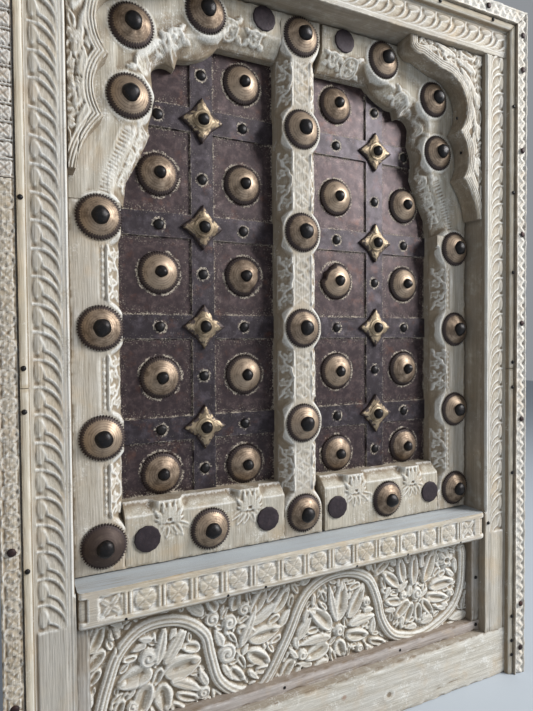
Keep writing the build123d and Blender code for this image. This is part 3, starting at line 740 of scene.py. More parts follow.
def new_group(name, inputs, outputs):
    """An empty node group, its inputs as signals by name, and the sockets of its outputs."""
    tree = bpy.data.node_groups.new(name, "ShaderNodeTree")
    for labels, way in ((inputs, "INPUT"), (outputs, "OUTPUT")):
        for label in labels:
            kind = "NodeSocketVector" if label == "Vector" else "NodeSocketFloat"
            tree.interface.new_socket(label, in_out=way, socket_type=kind)
    ins, outs = tree.nodes.new("NodeGroupInput"), tree.nodes.new("NodeGroupOutput")
    return tree, {label: Signal(ins.outputs[label]) for label in inputs}, outs.inputs


def place_group(tree, group, **inputs):
    """A group placed in a material with its own values, and its outputs as signals by name."""
    made = add_node(tree, "ShaderNodeGroup", {"node_tree": group}, **inputs)
    return {socket.name: Signal(socket) for socket in made.outputs}


# %% The effects that materials share
wood_fibres, ins, outs = new_group("wood fibres", ["Vector"], ["Fibres", "Figure", "Pores"])
put(ins["Vector"].noise(520.0, 4.0, 0.65), outs["Fibres"])
put(ins["Vector"].noise(75.0, 3.0, 0.55), outs["Figure"])
put(ins["Vector"].noise(900.0, 2.0, 0.5).grade(0.62, 0.7), outs["Pores"])

lime_and_ridge_highlight, ins, outs = new_group("lime wash and painted ridge highlight", ["Vector", "Cavity", "Lime", "Cover"], ["Mask"])
rough_cover = ins["Vector"].noise(42.0, 5.0, 0.7) * 0.6 + ins["Vector"].noise(420.0, 3.0, 0.6) * 0.4
# White on convex ridges is a painted highlight; the stored lime and the patchy cover are the lime itself.
ridge_highlight = (ins["Cavity"] * -1.0).grade(0.05, 0.45)
kept = (ridge_highlight * 0.8 | ins["Lime"]) * rough_cover.grade(0.3, 0.5)
put(kept | (rough_cover + ins["Cover"]).grade(0.56, 0.74), outs["Mask"])

shade_and_grime, ins, outs = new_group("grime in hollows", ["Vector", "Cavity", "Hollow", "Amount"], ["Mask"])
blotches = ins["Vector"].noise(65.0, 4.0, 0.6)
# Deep hollows and concave cavities get painted shade, broken into blotches; the last term adds blotchy stains
# at random.
deep = ins["Hollow"].grade(0.1, 1.6) * blotches.grade(0.15, 0.55)
stain = blotches.grade(0.55, 0.8) * ins["Amount"]
put(deep | ins["Cavity"].grade(0.06, 0.5) | stain, outs["Mask"])

patina, ins, outs = new_group("patina", ["Vector", "Amount"], ["Mask", "Spots"])
put((ins["Vector"].noise(90.0, 5.0, 0.7) + ins["Amount"]).grade(0.45, 0.85), outs["Mask"])
put(ins["Vector"].noise(700.0, 2.0, 0.6).grade(0.6, 0.72), outs["Spots"])

hammered, ins, outs = new_group("hammered", ["Vector", "Scale"], ["Height"])
blows = add_node(hammered, "ShaderNodeTexVoronoi", {"feature": "SMOOTH_F1"}, **ins)
put(Signal(blows.outputs["Distance"]) * 0.7 + ins["Vector"].noise(1200.0, 3.0, 0.7) * 0.3, outs["Height"])
print("groups", len(bpy.data.node_groups))

# %% [markdown]
# The limed wood is one function with a direction for the grain and a few tones, because the pieces
# differ in colour and in how much lime they have kept, while they are the same kind of surface.

# %% Wood


def start_material(name):
    """A material with its shader's sockets and the object's own coordinates."""
    material = bpy.data.materials.new(name)
    material.use_nodes = True
    tree = material.node_tree
    place = Signal(tree.nodes.new("ShaderNodeTexCoord").outputs["Object"])
    return material, tree, tree.nodes["Principled BSDF"].inputs, place


def stored(tree, name):
    """The number that the mesh holds for this place."""
    return Signal(add_node(tree, "ShaderNodeAttribute", {"attribute_name": name}).outputs["Fac"])


def finish_surface(sockets, colour, height, distance, strength=0.6):
    """Puts the colour and the relief on a material's shader."""
    put(colour, sockets["Base Color"])
    bump = add_node(colour.tree, "ShaderNodeBump", Height=height, Strength=strength, Distance=distance)
    put(Signal(bump.outputs["Normal"]), sockets["Normal"])


GRAIN = {"upright": (1.0, 1.0, 0.045), "level": (0.045, 1.0, 1.0)}
# The browns are the colours of the painted shade and of the stains in the hollows.
BROWN = (114, 96, 74)
DRY_BROWN = (124, 108, 88)
OAK_BROWN = (132, 116, 94)
PANEL_BROWN = (134, 117, 94)
BLUE_GREY_TOP = (178, 185, 190)


def limed_wood(name, along, light, dark, cover=0.0, grey=0.4, brown=BROWN, carved=True, top=None):
    """Weathered wood with what is left of a lime wash. cover says how much of the plain wood is limed."""
    material, tree, sockets, place = start_material(name)
    mapping = add_node(tree, "ShaderNodeMapping", Vector=place, Scale=GRAIN[along])
    grain = place_group(tree, wood_fibres, Vector=Signal(mapping.outputs["Vector"]))
    figure = grain["Figure"].grade(0.32, 0.68)
    fibre = grain["Fibres"].grade(0.35, 0.66)
    colour = (figure * 0.65).mix(light, dark)
    colour = (fibre * 0.38).mix(colour, tuple(c * 0.72 for c in dark))
    warm = place.noise(26.0, 4.0, 0.6).grade(0.5, 0.72)
    colour = (warm * 0.4).mix(colour, (190, 166, 134))
    weather = place.noise(14.0, 4.0, 0.6).grade(0.42, 0.66)
    colour = (weather * grey).mix(colour, (172, 170, 167))
    colour = (grain["Pores"] * 0.35).mix(colour, (110, 92, 70))
    labels = ("cavity", "hollow", "lime", "rust")
    cavity, hollow, limed, rusty = [stored(tree, label) if carved else 0.0 for label in labels]
    # This mask paints shade into the hollows, the concave cuts, the bevels and the side walls, and adds
    # blotchy stains.
    dirt = place_group(tree, shade_and_grime, Vector=place, Cavity=cavity, Hollow=hollow, Amount=0.2)["Mask"]
    colour = (dirt * 0.78).mix(colour, brown)
    # The white mask is the lime together with a painted highlight on the convex ridges.
    wash = place_group(tree, lime_and_ridge_highlight, Vector=place, Cavity=cavity, Lime=limed, Cover=cover)["Mask"]
    streaky = wash * (1.0 - fibre * 0.45)
    colour = (streaky * 0.85).mix(colour, (236, 236, 232))
    run = (fibre * 0.4 + rusty).grade(0.5, 1.0)
    colour = (run * (rusty * 0.65)).mix(colour, (140, 92, 60))
    # Faces that look upwards are mixed towards the top colour, a blue-grey on the sill.
    if top is not None:
        streak = 0.96 - figure * fibre * 0.5
        normal = Signal(tree.nodes.new("ShaderNodeNewGeometry").outputs["Normal"])
        facing = Signal(add_node(tree, "ShaderNodeSeparateXYZ", Vector=normal).outputs["Z"])
        colour = (facing.grade(0.6, 0.9) * streak).mix(colour, top)
    put(0.86 - figure * 0.12, sockets["Roughness"])
    sockets["Specular IOR Level"].default_value = 0.25
    finish_surface(sockets, colour, wash * 0.4 - fibre * 0.6, 0.0006, 0.55)
    return material


jamb_wood = limed_wood("limed jamb wood", "upright", (199, 192, 178), (154, 144, 127), -0.03, 0.4, DRY_BROWN)
head_wood = limed_wood("limed head wood", "level", (198, 190, 175), (152, 141, 123), -0.02, 0.4, DRY_BROWN)
sill_wood = limed_wood("limed sill wood", "level", (206, 196, 177), (168, 153, 130), -0.04, top=BLUE_GREY_TOP)
panel_wood = limed_wood("limed panel wood", "level", (209, 203, 190), (175, 165, 147), 0.05, 0.4, PANEL_BROWN)
rail_wood = limed_wood("limed foot wood", "level", (211, 207, 197), (180, 171, 154), 0.05, 0.2)
stile_wood = limed_wood("limed stile wood", "upright", (195, 188, 175), (157, 144, 124), 0.02, 0.2, OAK_BROWN)
arch_wood = limed_wood("limed arch wood", "upright", (200, 194, 180), (160, 148, 127), 0.04, 0.2)
strip_wood = limed_wood("limed strip wood", "upright", (204, 195, 180), (162, 148, 130), 0.03, 0.3)
grey_strip_wood = limed_wood("grey strip wood", "upright", (194, 182, 162), (146, 128, 104), 0.0, 0.2)
pink_wood = limed_wood("pinkish old wood", "upright", (198, 188, 175), (154, 142, 130), 0.01, 0.4)
top_wood = limed_wood("white strip wood", "level", (212, 205, 192), (164, 152, 134), 0.06, 0.2)
batten_wood = limed_wood("pale batten wood", "upright", (206, 198, 180), (164, 150, 126), 0.0, 0.15)
top_batten_wood = limed_wood("pale level batten wood", "level", (200, 191, 172), (158, 144, 120), -0.02, 0.2)
bead_wood = limed_wood("pinkish bead wood", "level", (190, 181, 175), (150, 138, 130), 0.0, 0.35)
grey_bead_wood = limed_wood("grey bead wood", "upright", (170, 163, 152), (118, 107, 94), -0.1, 0.5)
spandrel_wood = limed_wood("limed spandrel wood", "upright", (197, 188, 171), (147, 132, 110), 0.01, 0.2)
board_wood = limed_wood("old board wood", "upright", (150, 132, 108), (104, 86, 66), -0.12, 0.5, carved=False)
ledge_wood = limed_wood("old ledge wood", "level", (156, 138, 112), (110, 92, 70), -0.12, 0.5, carved=False)

# %% [markdown]
# The iron sheets are dark purple-brown, with lime along their seams and in specks round the bosses.
# The mesh holds the distance to the next edge and to the next boss, so the material can follow them.
# The brass has its turned rings as dark lines and bump, by the distance from each boss's middle.

# %% Metals


def old_iron(name, light, dark, spread, speck):
    """Painted or oiled old iron. spread is how far the lime reaches from an edge, in millimetres."""
    material, tree, sockets, place = start_material(name)
    worn = place_group(tree, patina, Vector=place, Amount=0.05)
    rust = place.noise(38.0, 5.0, 0.75).grade(0.54, 0.74)
    colour = (rust * 0.55).mix(worn["Mask"].mix(dark, light), (98, 64, 50))
    edge = stored(tree, "edge")
    rim = abs(stored(tree, "rim"))
    crumbs = place.noise(420.0, 4.0, 0.7).grade(0.4, 0.62)
    seam = (crumbs * (spread * 1.5) - edge).grade(0.0, 1.2) * place.noise(48.0, 4.0, 0.7).grade(0.42, 0.58)
    halo = (crumbs * 3.0 - rim).grade(0.0, 0.7) * place.noise(60.0, 3.0, 0.7).grade(0.4, 0.54)
    freckles = place.noise(620.0, 2.0, 0.5).grade(0.68 - speck, 0.72 - speck) * (edge.grade(16.0, 0.0) * 0.7)
    white = seam | halo | freckles
    put(0.55 - white * 0.5, sockets["Metallic"])
    put(white * 0.4 + 0.42, sockets["Roughness"])
    relief = place_group(tree, hammered, Vector=place, Scale=70.0)["Height"] + white * 0.5
    finish_surface(sockets, (white * 0.8).mix(colour, (196, 184, 166)), relief, 0.0011)
    return material


def aged_brass(name, light, dark, rings, chips, rim_start):
    """Old brass, dark from rim_start outwards. chips is how unevenly the dark reaches inwards."""
    material, tree, sockets, place = start_material(name)
    reach, own = stored(tree, "reach"), stored(tree, "own")
    worn = place_group(tree, patina, Vector=place, Amount=own * 0.3)
    waves = reach * rings
    line = waves.maths("SINE", waves).grade(0.3, 1.0) * reach.grade(0.34, 0.42)
    line = line * place.noise(60.0, 3.0, 0.6).grade(0.3, 0.6)
    colour = (line * 0.5).mix(worn["Mask"].mix(light, dark), (92, 76, 64))
    uneven = (place.noise(190.0, 3.0, 0.6) - 0.5) * chips
    # The dark rim is tarnish; the gaps between its teeth, which reach further, get a painted shadow.
    tarnish_and_tooth_shadow = (reach + uneven).grade(rim_start, 0.9) | own.grade(0.8, 1.0) * 0.75
    colour = (tarnish_and_tooth_shadow * 0.94).mix(colour, (56, 45, 46))
    colour = (worn["Spots"] * 0.25).mix(colour, (70, 56, 48))
    put(0.8 - tarnish_and_tooth_shadow * 0.4, sockets["Metallic"])
    put(worn["Mask"] * 0.12 + 0.5, sockets["Roughness"])
    blows = place_group(tree, hammered, Vector=place, Scale=160.0)["Height"]
    finish_surface(sockets, colour, blows * 0.3 + line * -0.5, 0.0005, 0.5)
    return material


def forged(name, light, dark, roughness):
    """Forged iron with a dull, uneven face."""
    material, tree, sockets, place = start_material(name)
    worn = place_group(tree, patina, Vector=place, Amount=0.0)
    colour = (worn["Spots"] * 0.35).mix(worn["Mask"].mix(dark, light), (92, 62, 50))
    sockets["Metallic"].default_value = 0.45
    put(worn["Mask"] * 0.15 + roughness, sockets["Roughness"])
    blows = place_group(tree, hammered, Vector=place, Scale=240.0)["Height"]
    finish_surface(sockets, colour, blows, 0.0008)
    return material


sheet_iron = old_iron("old sheet iron", (94, 78, 77), (54, 43, 45), 2.2, 0.05)
strap_iron = old_iron("old strap iron", (86, 78, 84), (48, 41, 45), 0.9, 0.03)
boss_brass = aged_brass("aged brass", (170, 151, 131), (106, 90, 76), 62.0, 0.12, 0.76)
star_brass = aged_brass("chipped brass", (161, 145, 121), (102, 87, 70), 34.0, 1.3, 0.84)
nail_iron = forged("forged nails", (40, 34, 34), (17, 15, 16), 0.4)
flat_iron = forged("flat nail heads", (76, 65, 70), (48, 40, 45), 0.6)
rusty_iron = forged("rusty small nails", (90, 56, 48), (44, 30, 30), 0.6)
print("materials", len(bpy.data.materials))

# %% [markdown]
# ## The jambs and the head
# A jamb carries a band of crests, like overlapping leaves that grow upwards. Each long crest starts
# flat at the outer edge and sweeps down to the inner edge. A short crest starts half a pitch higher.
# Between them the wood is scooped out with a gouge, and at the outer edge hangs a small lobe.
# The band is one formula of the places across and along it, so it runs on for any length.

# %% The crest band
band_width = 29
band_outer = span("jamb_right", 0)[0] + 39
band_inner = band_outer - band_width
crest_pitch = 30
crest_drop = 31
crest_flat = 0.12
crest_short = 18.6
crest_depth = 3.4
arris_depth = 9
band_foot = sill_top - 35


def crest_band(across, along, seed):
    """The height below the face and the lime. across is 0 outside and 1 inside, along is in millimetres."""
    along = along + 0.8 * ripple(across * band_width, along, 40, seed)
    turn = np.clip((across - crest_flat) / (1.02 - crest_flat), 0, 1)
    sweep = (1 - np.sqrt(1 - turn ** 2)) * crest_drop
    steep = crest_drop / 26 * turn / np.sqrt(1.001 - turn ** 2)
    level = np.maximum(1 / np.sqrt(1 + steep ** 2), 0.3)
    below = (-(along + sweep)) % crest_pitch
    inner = smooth(0.33, 0.39, across)
    on_long = (below - crest_short) / (crest_pitch - crest_short)
    share = np.where(below < crest_short, below / crest_short, on_long)
    fall = np.minimum(share / 0.14, (np.clip(1 - share, 0, 1) / 0.86) ** 0.8)
    flute = -crest_depth * fall * (0.4 + 0.6 * smooth(1.0, 0.75, across))
    flute += 0.45 * ripple(across * 80, along * 1.6, 7, seed + 3) * fall
    lobe = np.clip(1 - ((below - 13.5) / 11.6) ** 2 - ((across - 0.17) / 0.17) ** 2, 0, 1) ** 0.5
    folds = hump(across - 0.12, 0.022) + hump(across - 0.22, 0.022)
    notch = np.exp(-(((below - 27.0) / 1.9) ** 2) - ((across - 0.1) / 0.08) ** 2)
    outer = -0.75 * crest_depth + lobe * (0.7 * crest_depth - 0.6 * folds) - 1.8 * notch
    height = outer * (1 - inner) + flute * inner
    to_long = np.minimum(below, crest_pitch - below) * level
    to_short = np.abs(below - crest_short) * level
    tip_line = [(7.4, 6.5), (9.6, 10), (10.8, 14), (11.3, 17), (12.6, 18.8)]
    tip, _ = distance_to(tip_line, across * band_width, below)
    line = np.maximum(hump(to_long, 1.0), hump(to_short, 1.0) * inner)
    line = np.maximum(line, 0.8 * hump(tip, 1.1))
    height = height + 1.8 * line * smooth(0, -2, height)
    line *= 1 - 0.55 * smooth(0.7, 0.95, across)
    return np.minimum(height, 0.1), line


def fillets(distance):
    """Two fine fillets beside the band, from the distance to it."""
    low = -1.6 * smooth(0, 1.2, distance) * smooth(9.2, 7.4, distance)
    first = 1.5 * hump(distance - 2.6, 1.0)
    second = 1.6 * hump(distance - 6.4, 1.1)
    return low + first + second, 0.9 * (hump(distance - 1.2, 0.5) + hump(distance - 4.6, 0.6))


def outer_groove(distance):
    """The dark groove between the band and the batten."""
    return -1.7 * smooth(0.2, 1.2, distance) * smooth(4.2, 3.2, distance)


# %% Carve the jambs
for side, word in SIDES:
    reaches = cuts(
        opening_half, (opening_half + 1.6, 0.6), (band_inner, 1.0), (band_outer, 1.1),
        (batten_inner, 1.0), (half_width, 16),
    )
    jamb = Carving(np.sort(side * reaches), cuts(rail_top, (band_foot - 6, 9), (soffit, 1.35)))
    reach = np.abs(jamb.x)
    across = (band_outer - reach) / (band_outer - band_inner)
    in_band = (across >= 0) & (across <= 1) & (jamb.z > band_foot)
    height, lime = crest_band(across, jamb.z - band_foot, 21 + side)
    fade = smooth(band_foot, band_foot + 3, jamb.z)
    jamb.base += np.where(in_band, height * fade, 0)
    jamb.lime += np.where(in_band, lime * fade, 0)
    low, white = fillets(band_inner - reach)
    beside = (reach < band_inner) & (reach > opening_half)
    jamb.base += np.where(beside, low, 0)
    jamb.lime += np.where(beside, white * (0.4 + 0.6 * fade), 0)
    jamb.base += np.where(reach > band_outer, outer_groove(reach - band_outer), 0)
    jamb.base -= arris_depth * (reach < opening_half + 1.3) * (jamb.z > sill_top)
    jamb.wear(0.8, 1.6, 31 + side)
    frame_board(f"carved_jamb_{word}", jamb, frame_front, frame_back, f"jamb_{word}", jamb_wood)

# %% Carve the head
head_low = frame_height - (half_width - band_inner)
head_high = frame_height - (half_width - band_outer)
columns = cuts(-half_width, (-band_outer, 6), (band_outer, 1.4), (half_width, 6))
rows = cuts(soffit, (head_low, 1.4), (head_high, 1.2), (head_high + 4, 1.0), (frame_height, 9))
head = Carving(columns, rows)
across = (head_high - head.z) / (head_high - head_low)
in_band = (across >= 0) & (across <= 1) & (np.abs(head.x) < band_outer)
height, lime = crest_band(across, head.x + band_outer, 41)
head.base += np.where(in_band, height, 0)
head.lime += np.where(in_band, lime, 0)
low, white = fillets(head_low - head.z)
below_band = head.z < head_low
head.base += np.where(below_band, low, 0)
head.lime += np.where(below_band, white, 0)
head.base += np.where(head.z > head_high, outer_groove(head.z - head_high), 0)
head.stain(345, 1010, 7)
head.wear(0.8, 1.6, 43)
frame_board("carved_head", head, frame_front, frame_back, "head_rail", head_wood)
tell("jambs and head")

# %% [markdown]
# ## The outer strips and the battens
# The strips are narrow boards that stand proud and hide the joint with the wall. They come from
# different hands: the upper left one has crossed squares, the lower left one worn flowers, and the
# right and top ones a zigzag leaf with small triangular pits. The battens are plain half-rounds.

# %% Strips
strip_gap = 1.0
MITRE_GAP = 0.9
square_pitch = 18.85
flower_pitch = 30
zigzag_pitch = 16
lower_joint = span("strip_left_upper", 2)[0]
strip_width = half_width - strip_inner


def zigzag(along, across, seed):
    """A zigzag leaf with a pit in each outer corner. across is 0 inside and 1 outside."""
    along = along + 0.6 * ripple(along, across * strip_width, 50, seed)
    phase = along / zigzag_pitch % 1
    wave = np.abs(phase - 0.5) * 2
    centre = 0.28 + 0.44 * wave
    gap = np.abs(across - centre) * strip_width
    ridge = round_top(gap / 3.4)
    vein = hump(gap, 0.6)
    pit = np.exp(-(((phase - 0.5) / 0.16) ** 2) - (((across - 0.76) / 0.1) ** 2))
    second = np.exp(-((np.minimum(phase, 1 - phase) / 0.14) ** 2) - (((across - 0.24) / 0.12) ** 2))
    inside = smooth(0.08, 0.13, across) * smooth(0.92, 0.87, across)
    height = -2.2 * inside + inside * (2.0 * ridge - 1.1 * vein - 2.8 * pit - 1.6 * second)
    lime = inside * np.maximum(0.8 * vein, smooth(0.5, 0.05, ridge) * 0.7)
    return height, lime


def crossed_squares(carving, middle, low, high):
    """Squares with an X of four petals, between bars with dark grooves."""
    for step in range(int((high - low) / square_pitch) + 1):
        z = low + (step + 0.5) * square_pitch
        for bar in (z + square_pitch / 2 - 1.9, z + square_pitch / 2 + 1.9):
            carving.base -= 3.4 * hump(carving.z - bar, 0.9) * (np.abs(carving.x - middle) < 8.6)
        carving.stamp(middle, z, chance.uniform(-3, 3), 10, crossed_square(7.3, 2.6))


def strip_board(columns, rows, mitred):
    """An uncut upright board, with its upper end mitred or square."""
    x, z = np.meshgrid(columns, rows)
    if mitred:
        end = frame_height - half_width + np.abs(x) - MITRE_GAP
        z = rows[0] + (z - rows[0]) * (end - rows[0]) / (rows[-1] - rows[0])
    return Carving((x, z))


def make_strip(name, side, low, high, kind, material, mitred):
    """An upright strip, carved with a zigzag, with squares or with flowers."""
    gap = strip_gap if side > 0 else 2 * strip_gap
    columns = np.sort(cuts(side * (strip_inner + gap), (side * half_width, 0.95)))
    strip = strip_board(columns, cuts(low, (high, 1.15)), mitred)
    across = (np.abs(strip.x) - strip_inner) / strip_width
    middle = side * (strip_inner + half_width) / 2
    sunk = smooth(0.1, 0.16, across) * smooth(0.9, 0.84, across)
    if kind == "zigzag":
        height, strip.lime = zigzag(strip.z, across, 5)
        strip.base += height
    elif kind == "squares":
        strip.base -= 2.6 * sunk
        number = (strip.z - low) / square_pitch
        bars = np.abs(number - np.rint(number)) * square_pitch < 1.7
        strip.base += 2.3 * sunk * bars
        crossed_squares(strip, middle, low, high)
    else:
        strip.base -= 2.0 * sunk
        for step in range(int((high - low) / flower_pitch) + 1):
            z = low + (step + 0.5) * flower_pitch
            strip.stamp(middle, z, 0, 12, flower(8.5, 2.2, 4, 45, 8.2))
            strip.stamp(middle, z + flower_pitch / 2, 0, 9, crossed_square(6.2, 1.9))
        strip.lime *= 0.5
        strip.base += 0.5 * ripple(strip.x, strip.z, 6, 8)
    strip.wear(1.0, 1.5, 50 + side)
    frame_board(name, strip, strip_face, frame_front, name.replace("carved_", ""), material)


make_strip("carved_strip_left_lower", -1, 0, lower_joint - 0.8, "flowers", grey_strip_wood, False)
make_strip("carved_strip_left_upper", -1, lower_joint, frame_height, "squares", pink_wood, True)
make_strip("carved_strip_right", 1, 0, frame_height, "zigzag", strip_wood, True)

rows = cuts(frame_height - strip_width + strip_gap, (frame_height, 1.25))
x, z = np.meshgrid(cuts(-half_width, (half_width, 1.4)), rows)
strip = Carving((x * (half_width - frame_height + z) / half_width, z))
height, strip.lime = zigzag(strip.x, (strip.z - frame_height + strip_width) / strip_width, 6)
strip.base += height
strip.wear(1.0, 1.5, 55)
frame_board("carved_strip_top", strip, strip_face, frame_front, "strip_top", top_wood)

# %% Battens
batten_joint = span("batten_left_upper", 2)[0]
batten_width = strip_inner - batten_inner
batten_proud = frame_front - batten_face


def batten_height(across):
    """The half-round of a batten. across is 0 at its low inner side."""
    return -batten_proud * 0.78 * (1 - round_top(1 - np.clip(across * 1.35, 0, 1)))


for side, word in SIDES:
    for part, low, high in (("lower", 0, batten_joint - 0.8), ("upper", batten_joint, frame_height)):
        columns = np.sort(cuts(side * (batten_inner + 0.3), (side * (strip_inner - 0.3), 1.1)))
        batten = strip_board(columns, cuts(low, (high, 5)), part == "upper")
        batten.base += batten_height((np.abs(batten.x) - batten_inner) / batten_width)
        batten.wear(0.5, 1.2, 60 + side)
        node = f"batten_{word}_{part}"
        frame_board(f"worn_{node}", batten, batten_face, frame_front, node, batten_wood)

batten_high = frame_height - strip_width
rows = cuts(batten_high - batten_width + 0.3, (batten_high - 0.3, 1.1))
x, z = np.meshgrid(cuts(-strip_inner, (strip_inner, 5)), rows)
batten = Carving((x * (half_width - frame_height + z) / strip_inner, z))
batten.base += batten_height((batten.z - batten_high + batten_width) / batten_width)
batten.wear(0.5, 1.2, 65)
frame_board("worn_batten_top", batten, batten_face, frame_front, "batten_top", top_batten_wood)

# %% [markdown]
# ## The sill and the foot
# The sill has a row of sunk squares. Each holds a low disc, cut by an X and a diamond, with lime in
# the corners, and the two at the ends hold a crossed square. Between them stand pairs of upright
# fillets, and the sill's ends are rounded. The rail and the beads below are plain old boards, with
# worn edges, a knot and a few splits.

# %% Sill
square_count = 15
square_pitch_sill = 40
square_half = 13.5
sill_round = 6
sill_middle = (sill_bottom + sill_top) / 2 + 1.5
end_gap = 2.2
corner_reach = 17
columns = cuts(
    -opening_half + end_gap, (-opening_half + sill_round, 0.9), (opening_half - sill_round, 1.3),
    (opening_half - 0.3, 0.9),
)
sill = Carving(columns, cuts(sill_bottom, (sill_top, 1.25)))
gap_x = (sill.x + square_pitch_sill / 2) % square_pitch_sill - square_pitch_sill / 2
inside = (np.abs(gap_x) < square_half) & (np.abs(sill.z - sill_middle) < square_half)
sill.base -= 3.0 * inside
between = (np.abs(sill.z - sill_middle) < square_half) & ~inside & (np.abs(sill.x) < 290)
fillet_place = np.abs(np.abs(gap_x) - square_pitch_sill / 2)
sill.base -= 2.0 * between * hump(fillet_place, 0.9)
sill.base -= 2.2 * between * hump(fillet_place - 5.6, 1.0)
for number in range(square_count):
    x = (number - (square_count - 1) / 2) * square_pitch_sill
    turn = chance.uniform(-6, 6)
    if number in (0, square_count - 1):
        sill.stamp(x, sill_middle, turn, 18, crossed_square(13.2, 2.9))
    else:
        spread = 0.42 + chance.uniform(-0.06, 0.06)
        sill.stamp(x, sill_middle + chance.uniform(-0.6, 0.6), 45 + turn, 18, cut_disc(13.2, 2.8, spread))
    for corner in range(4):
        c, s = aim(45 + 90 * corner)
        away = np.hypot(sill.x - x - corner_reach * c, sill.z - sill_middle - corner_reach * s)
        sill.lime[(away < 5) & inside] = 0.9
sill.ornament *= inside
sill.lime *= inside
reach = opening_half - end_gap - np.abs(sill.x)
rounding = np.clip(sill_round - reach, 0, sill_round)
sill.base -= sill_round - np.sqrt(sill_round ** 2 - rounding ** 2)
foot = np.clip(5 - (sill.z - sill_bottom), 0, 5)
sill.base -= foot * 0.9
sill.wear(0.9, 1.6, 70)
frame_board("carved_sill", sill, frame_front, frame_back, "sill", sill_wood)

# %% Bottom rail and beads
knot = (120, 33)
rail = Carving(cuts(-half_width, (half_width, 3)), cuts(0, (rail_top, 2.4)))
from_knot = np.hypot(rail.x - knot[0], (rail.z - knot[1]) * 1.15)
rail.base -= 2.2 * hump(from_knot, 4) - 0.7 * hump(from_knot - 9, 4)
rail.base += 0.25 * np.sin(from_knot * 0.9) * np.exp(-from_knot / 22)
rail.base += 0.35 * ripple(rail.x / 6, rail.z, 14, 75)
splits = ((-40, 70, 150, 74), (-330, 50, -180, 44), (190, 12, 300, 18), (-120, 16, 10, 20))
for low_x, low_z, high_x, high_z in splits:
    middle = ((low_x + high_x) / 2, (low_z + high_z) / 2 + 2)
    rail.cut([(low_x, low_z), middle, (high_x, high_z)], 1.3, 1.6)
rail.stain(40, 53, 5)
rail.wear(1.6, 3.0, 76)
frame_board("worn_bottom_rail", rail, frame_front, frame_back, "bottom_rail", rail_wood)

bead = Carving(cuts(-opening_half, (opening_half, 4)), cuts(rail_top, (bead_top, 1.4)))
bead.cut([(-60, rail_top + 3), (40, rail_top + 5), (130, rail_top + 2)], 1.2, 1.4)
bead.wear(1.4, 2.6, 77)
frame_board("worn_bead_bottom", bead, bead_front, panel_face, "panel_bead_bottom", bead_wood)
for side, word in SIDES:
    columns = np.sort(side * cuts(bead_inner, (opening_half, 1.4)))
    bead = Carving(columns, cuts(bead_top, (sill_bottom, 4)))
    bead.base -= 1.4 * hump(np.abs(bead.x) - (bead_inner + 5), 0.9)
    bead.wear(1.2, 2.0, 78 + side)
    frame_board(f"worn_bead_{word}", bead, bead_front, panel_face, f"panel_bead_{word}", grey_bead_wood)
tell("with sill and foot")

# %% [markdown]
# ## The lower panel
# A vine with three ridges waves along the panel, and a bunch of leaves and volutes fills each bay.
# The stem is a curve through a few points read off the object, and each leaf is given by its foot,
# its tip and its width. The ground is cut away all round them.

# %% Vine and leaves
panel_rise = 5.6
stem_points = [
    (-295, 84), (-290, 117), (-280, 152), (-266, 185), (-236, 208), (-192, 206), (-159, 182), (-150, 150),
    (-138, 113), (-109, 89), (-75, 88), (-37, 143), (-10, 194), (23, 216), (66, 218), (102, 201), (119, 167),
    (127, 135), (145, 107), (171, 95), (211, 91), (264, 113), (289, 149), (294, 199), (292, 214),
]
panel_cups = [
    (-226, 148, -270, 150, 30, 0.15), (-212, 142, -162, 150, 34, -0.05), (-230, 136, -248, 96, 26, 0.1),
    (-216, 130, -206, 92, 26, -0.1), (-196, 112, -166, 92, 15, 0.15), (-262, 126, -278, 98, 14, 0.1),
    (-302, 190, -278, 224, 18, 0.2), (-140, 206, -154, 228, 17, 0.0), (-118, 200, -108, 230, 19, 0.1),
    (-92, 190, -64, 224, 22, 0.1), (-112, 174, -82, 166, 18, -0.1), (-96, 158, -46, 156, 26, 0.12),
    (-98, 140, -60, 120, 24, -0.12), (-122, 126, -104, 100, 18, 0.1), (-86, 112, -58, 106, 15, 0.1),
    (-58, 184, -28, 216, 20, 0.1), (36, 140, 6, 182, 25, 0.15), (50, 148, 58, 206, 27, 0.0),
    (66, 148, 100, 192, 25, 0.1), (32, 118, -8, 102, 24, -0.1), (48, 120, 58, 92, 22, 0.0),
    (62, 126, 102, 110, 22, 0.12), (104, 106, 134, 92, 14, 0.1), (160, 176, 132, 208, 19, 0.1),
    (170, 180, 162, 224, 20, 0.0), (190, 172, 192, 226, 21, 0.0), (210, 172, 238, 224, 25, 0.08),
    (182, 150, 150, 130, 19, 0.1), (188, 146, 172, 112, 17, 0.0), (199, 142, 200, 108, 17, 0.0),
    (208, 146, 230, 114, 17, 0.05), (216, 150, 262, 132, 20, 0.1), (222, 162, 276, 168, 23, -0.1),
]
panel_blades = [
    (-222, 156, -204, 204, 15, 0.12), (-212, 154, -174, 200, 18, 0.10), (-204, 130, -156, 114, 15, -0.2),
    (-108, 150, -78, 198, 15, 0.12), (-90, 176, -42, 198, 15, 0.1), (-134, 134, -122, 106, 12, 0.1),
    (46, 148, 28, 204, 13, -0.1), (66, 138, 114, 148, 17, -0.1), (36, 128, -18, 134, 15, 0.1),
]
panel_volutes = [
    (-231, 168, 12, 1), (-160, 104, 9, -1), (-252, 112, 7, -1), (-147, 197, 10, -1), (-123, 187, 10, 1),
    (-102, 200, 9, -1), (-127, 146, 13, 1), (50, 134, 9, 1), (100, 166, 7, -1), (-12, 114, 8, 1),
    (86, 98, 7, -1), (197, 158, 10, 1), (170, 160, 7, -1), (268, 144, 7, 1), (-272, 207, 8, -1),
]
flower_hole = (259, 199)
panel = Carving(cuts(-bead_inner - 2, (bead_inner + 2, 1.25)), cuts(bead_top - 2, (sill_bottom + 1, 1.15)))
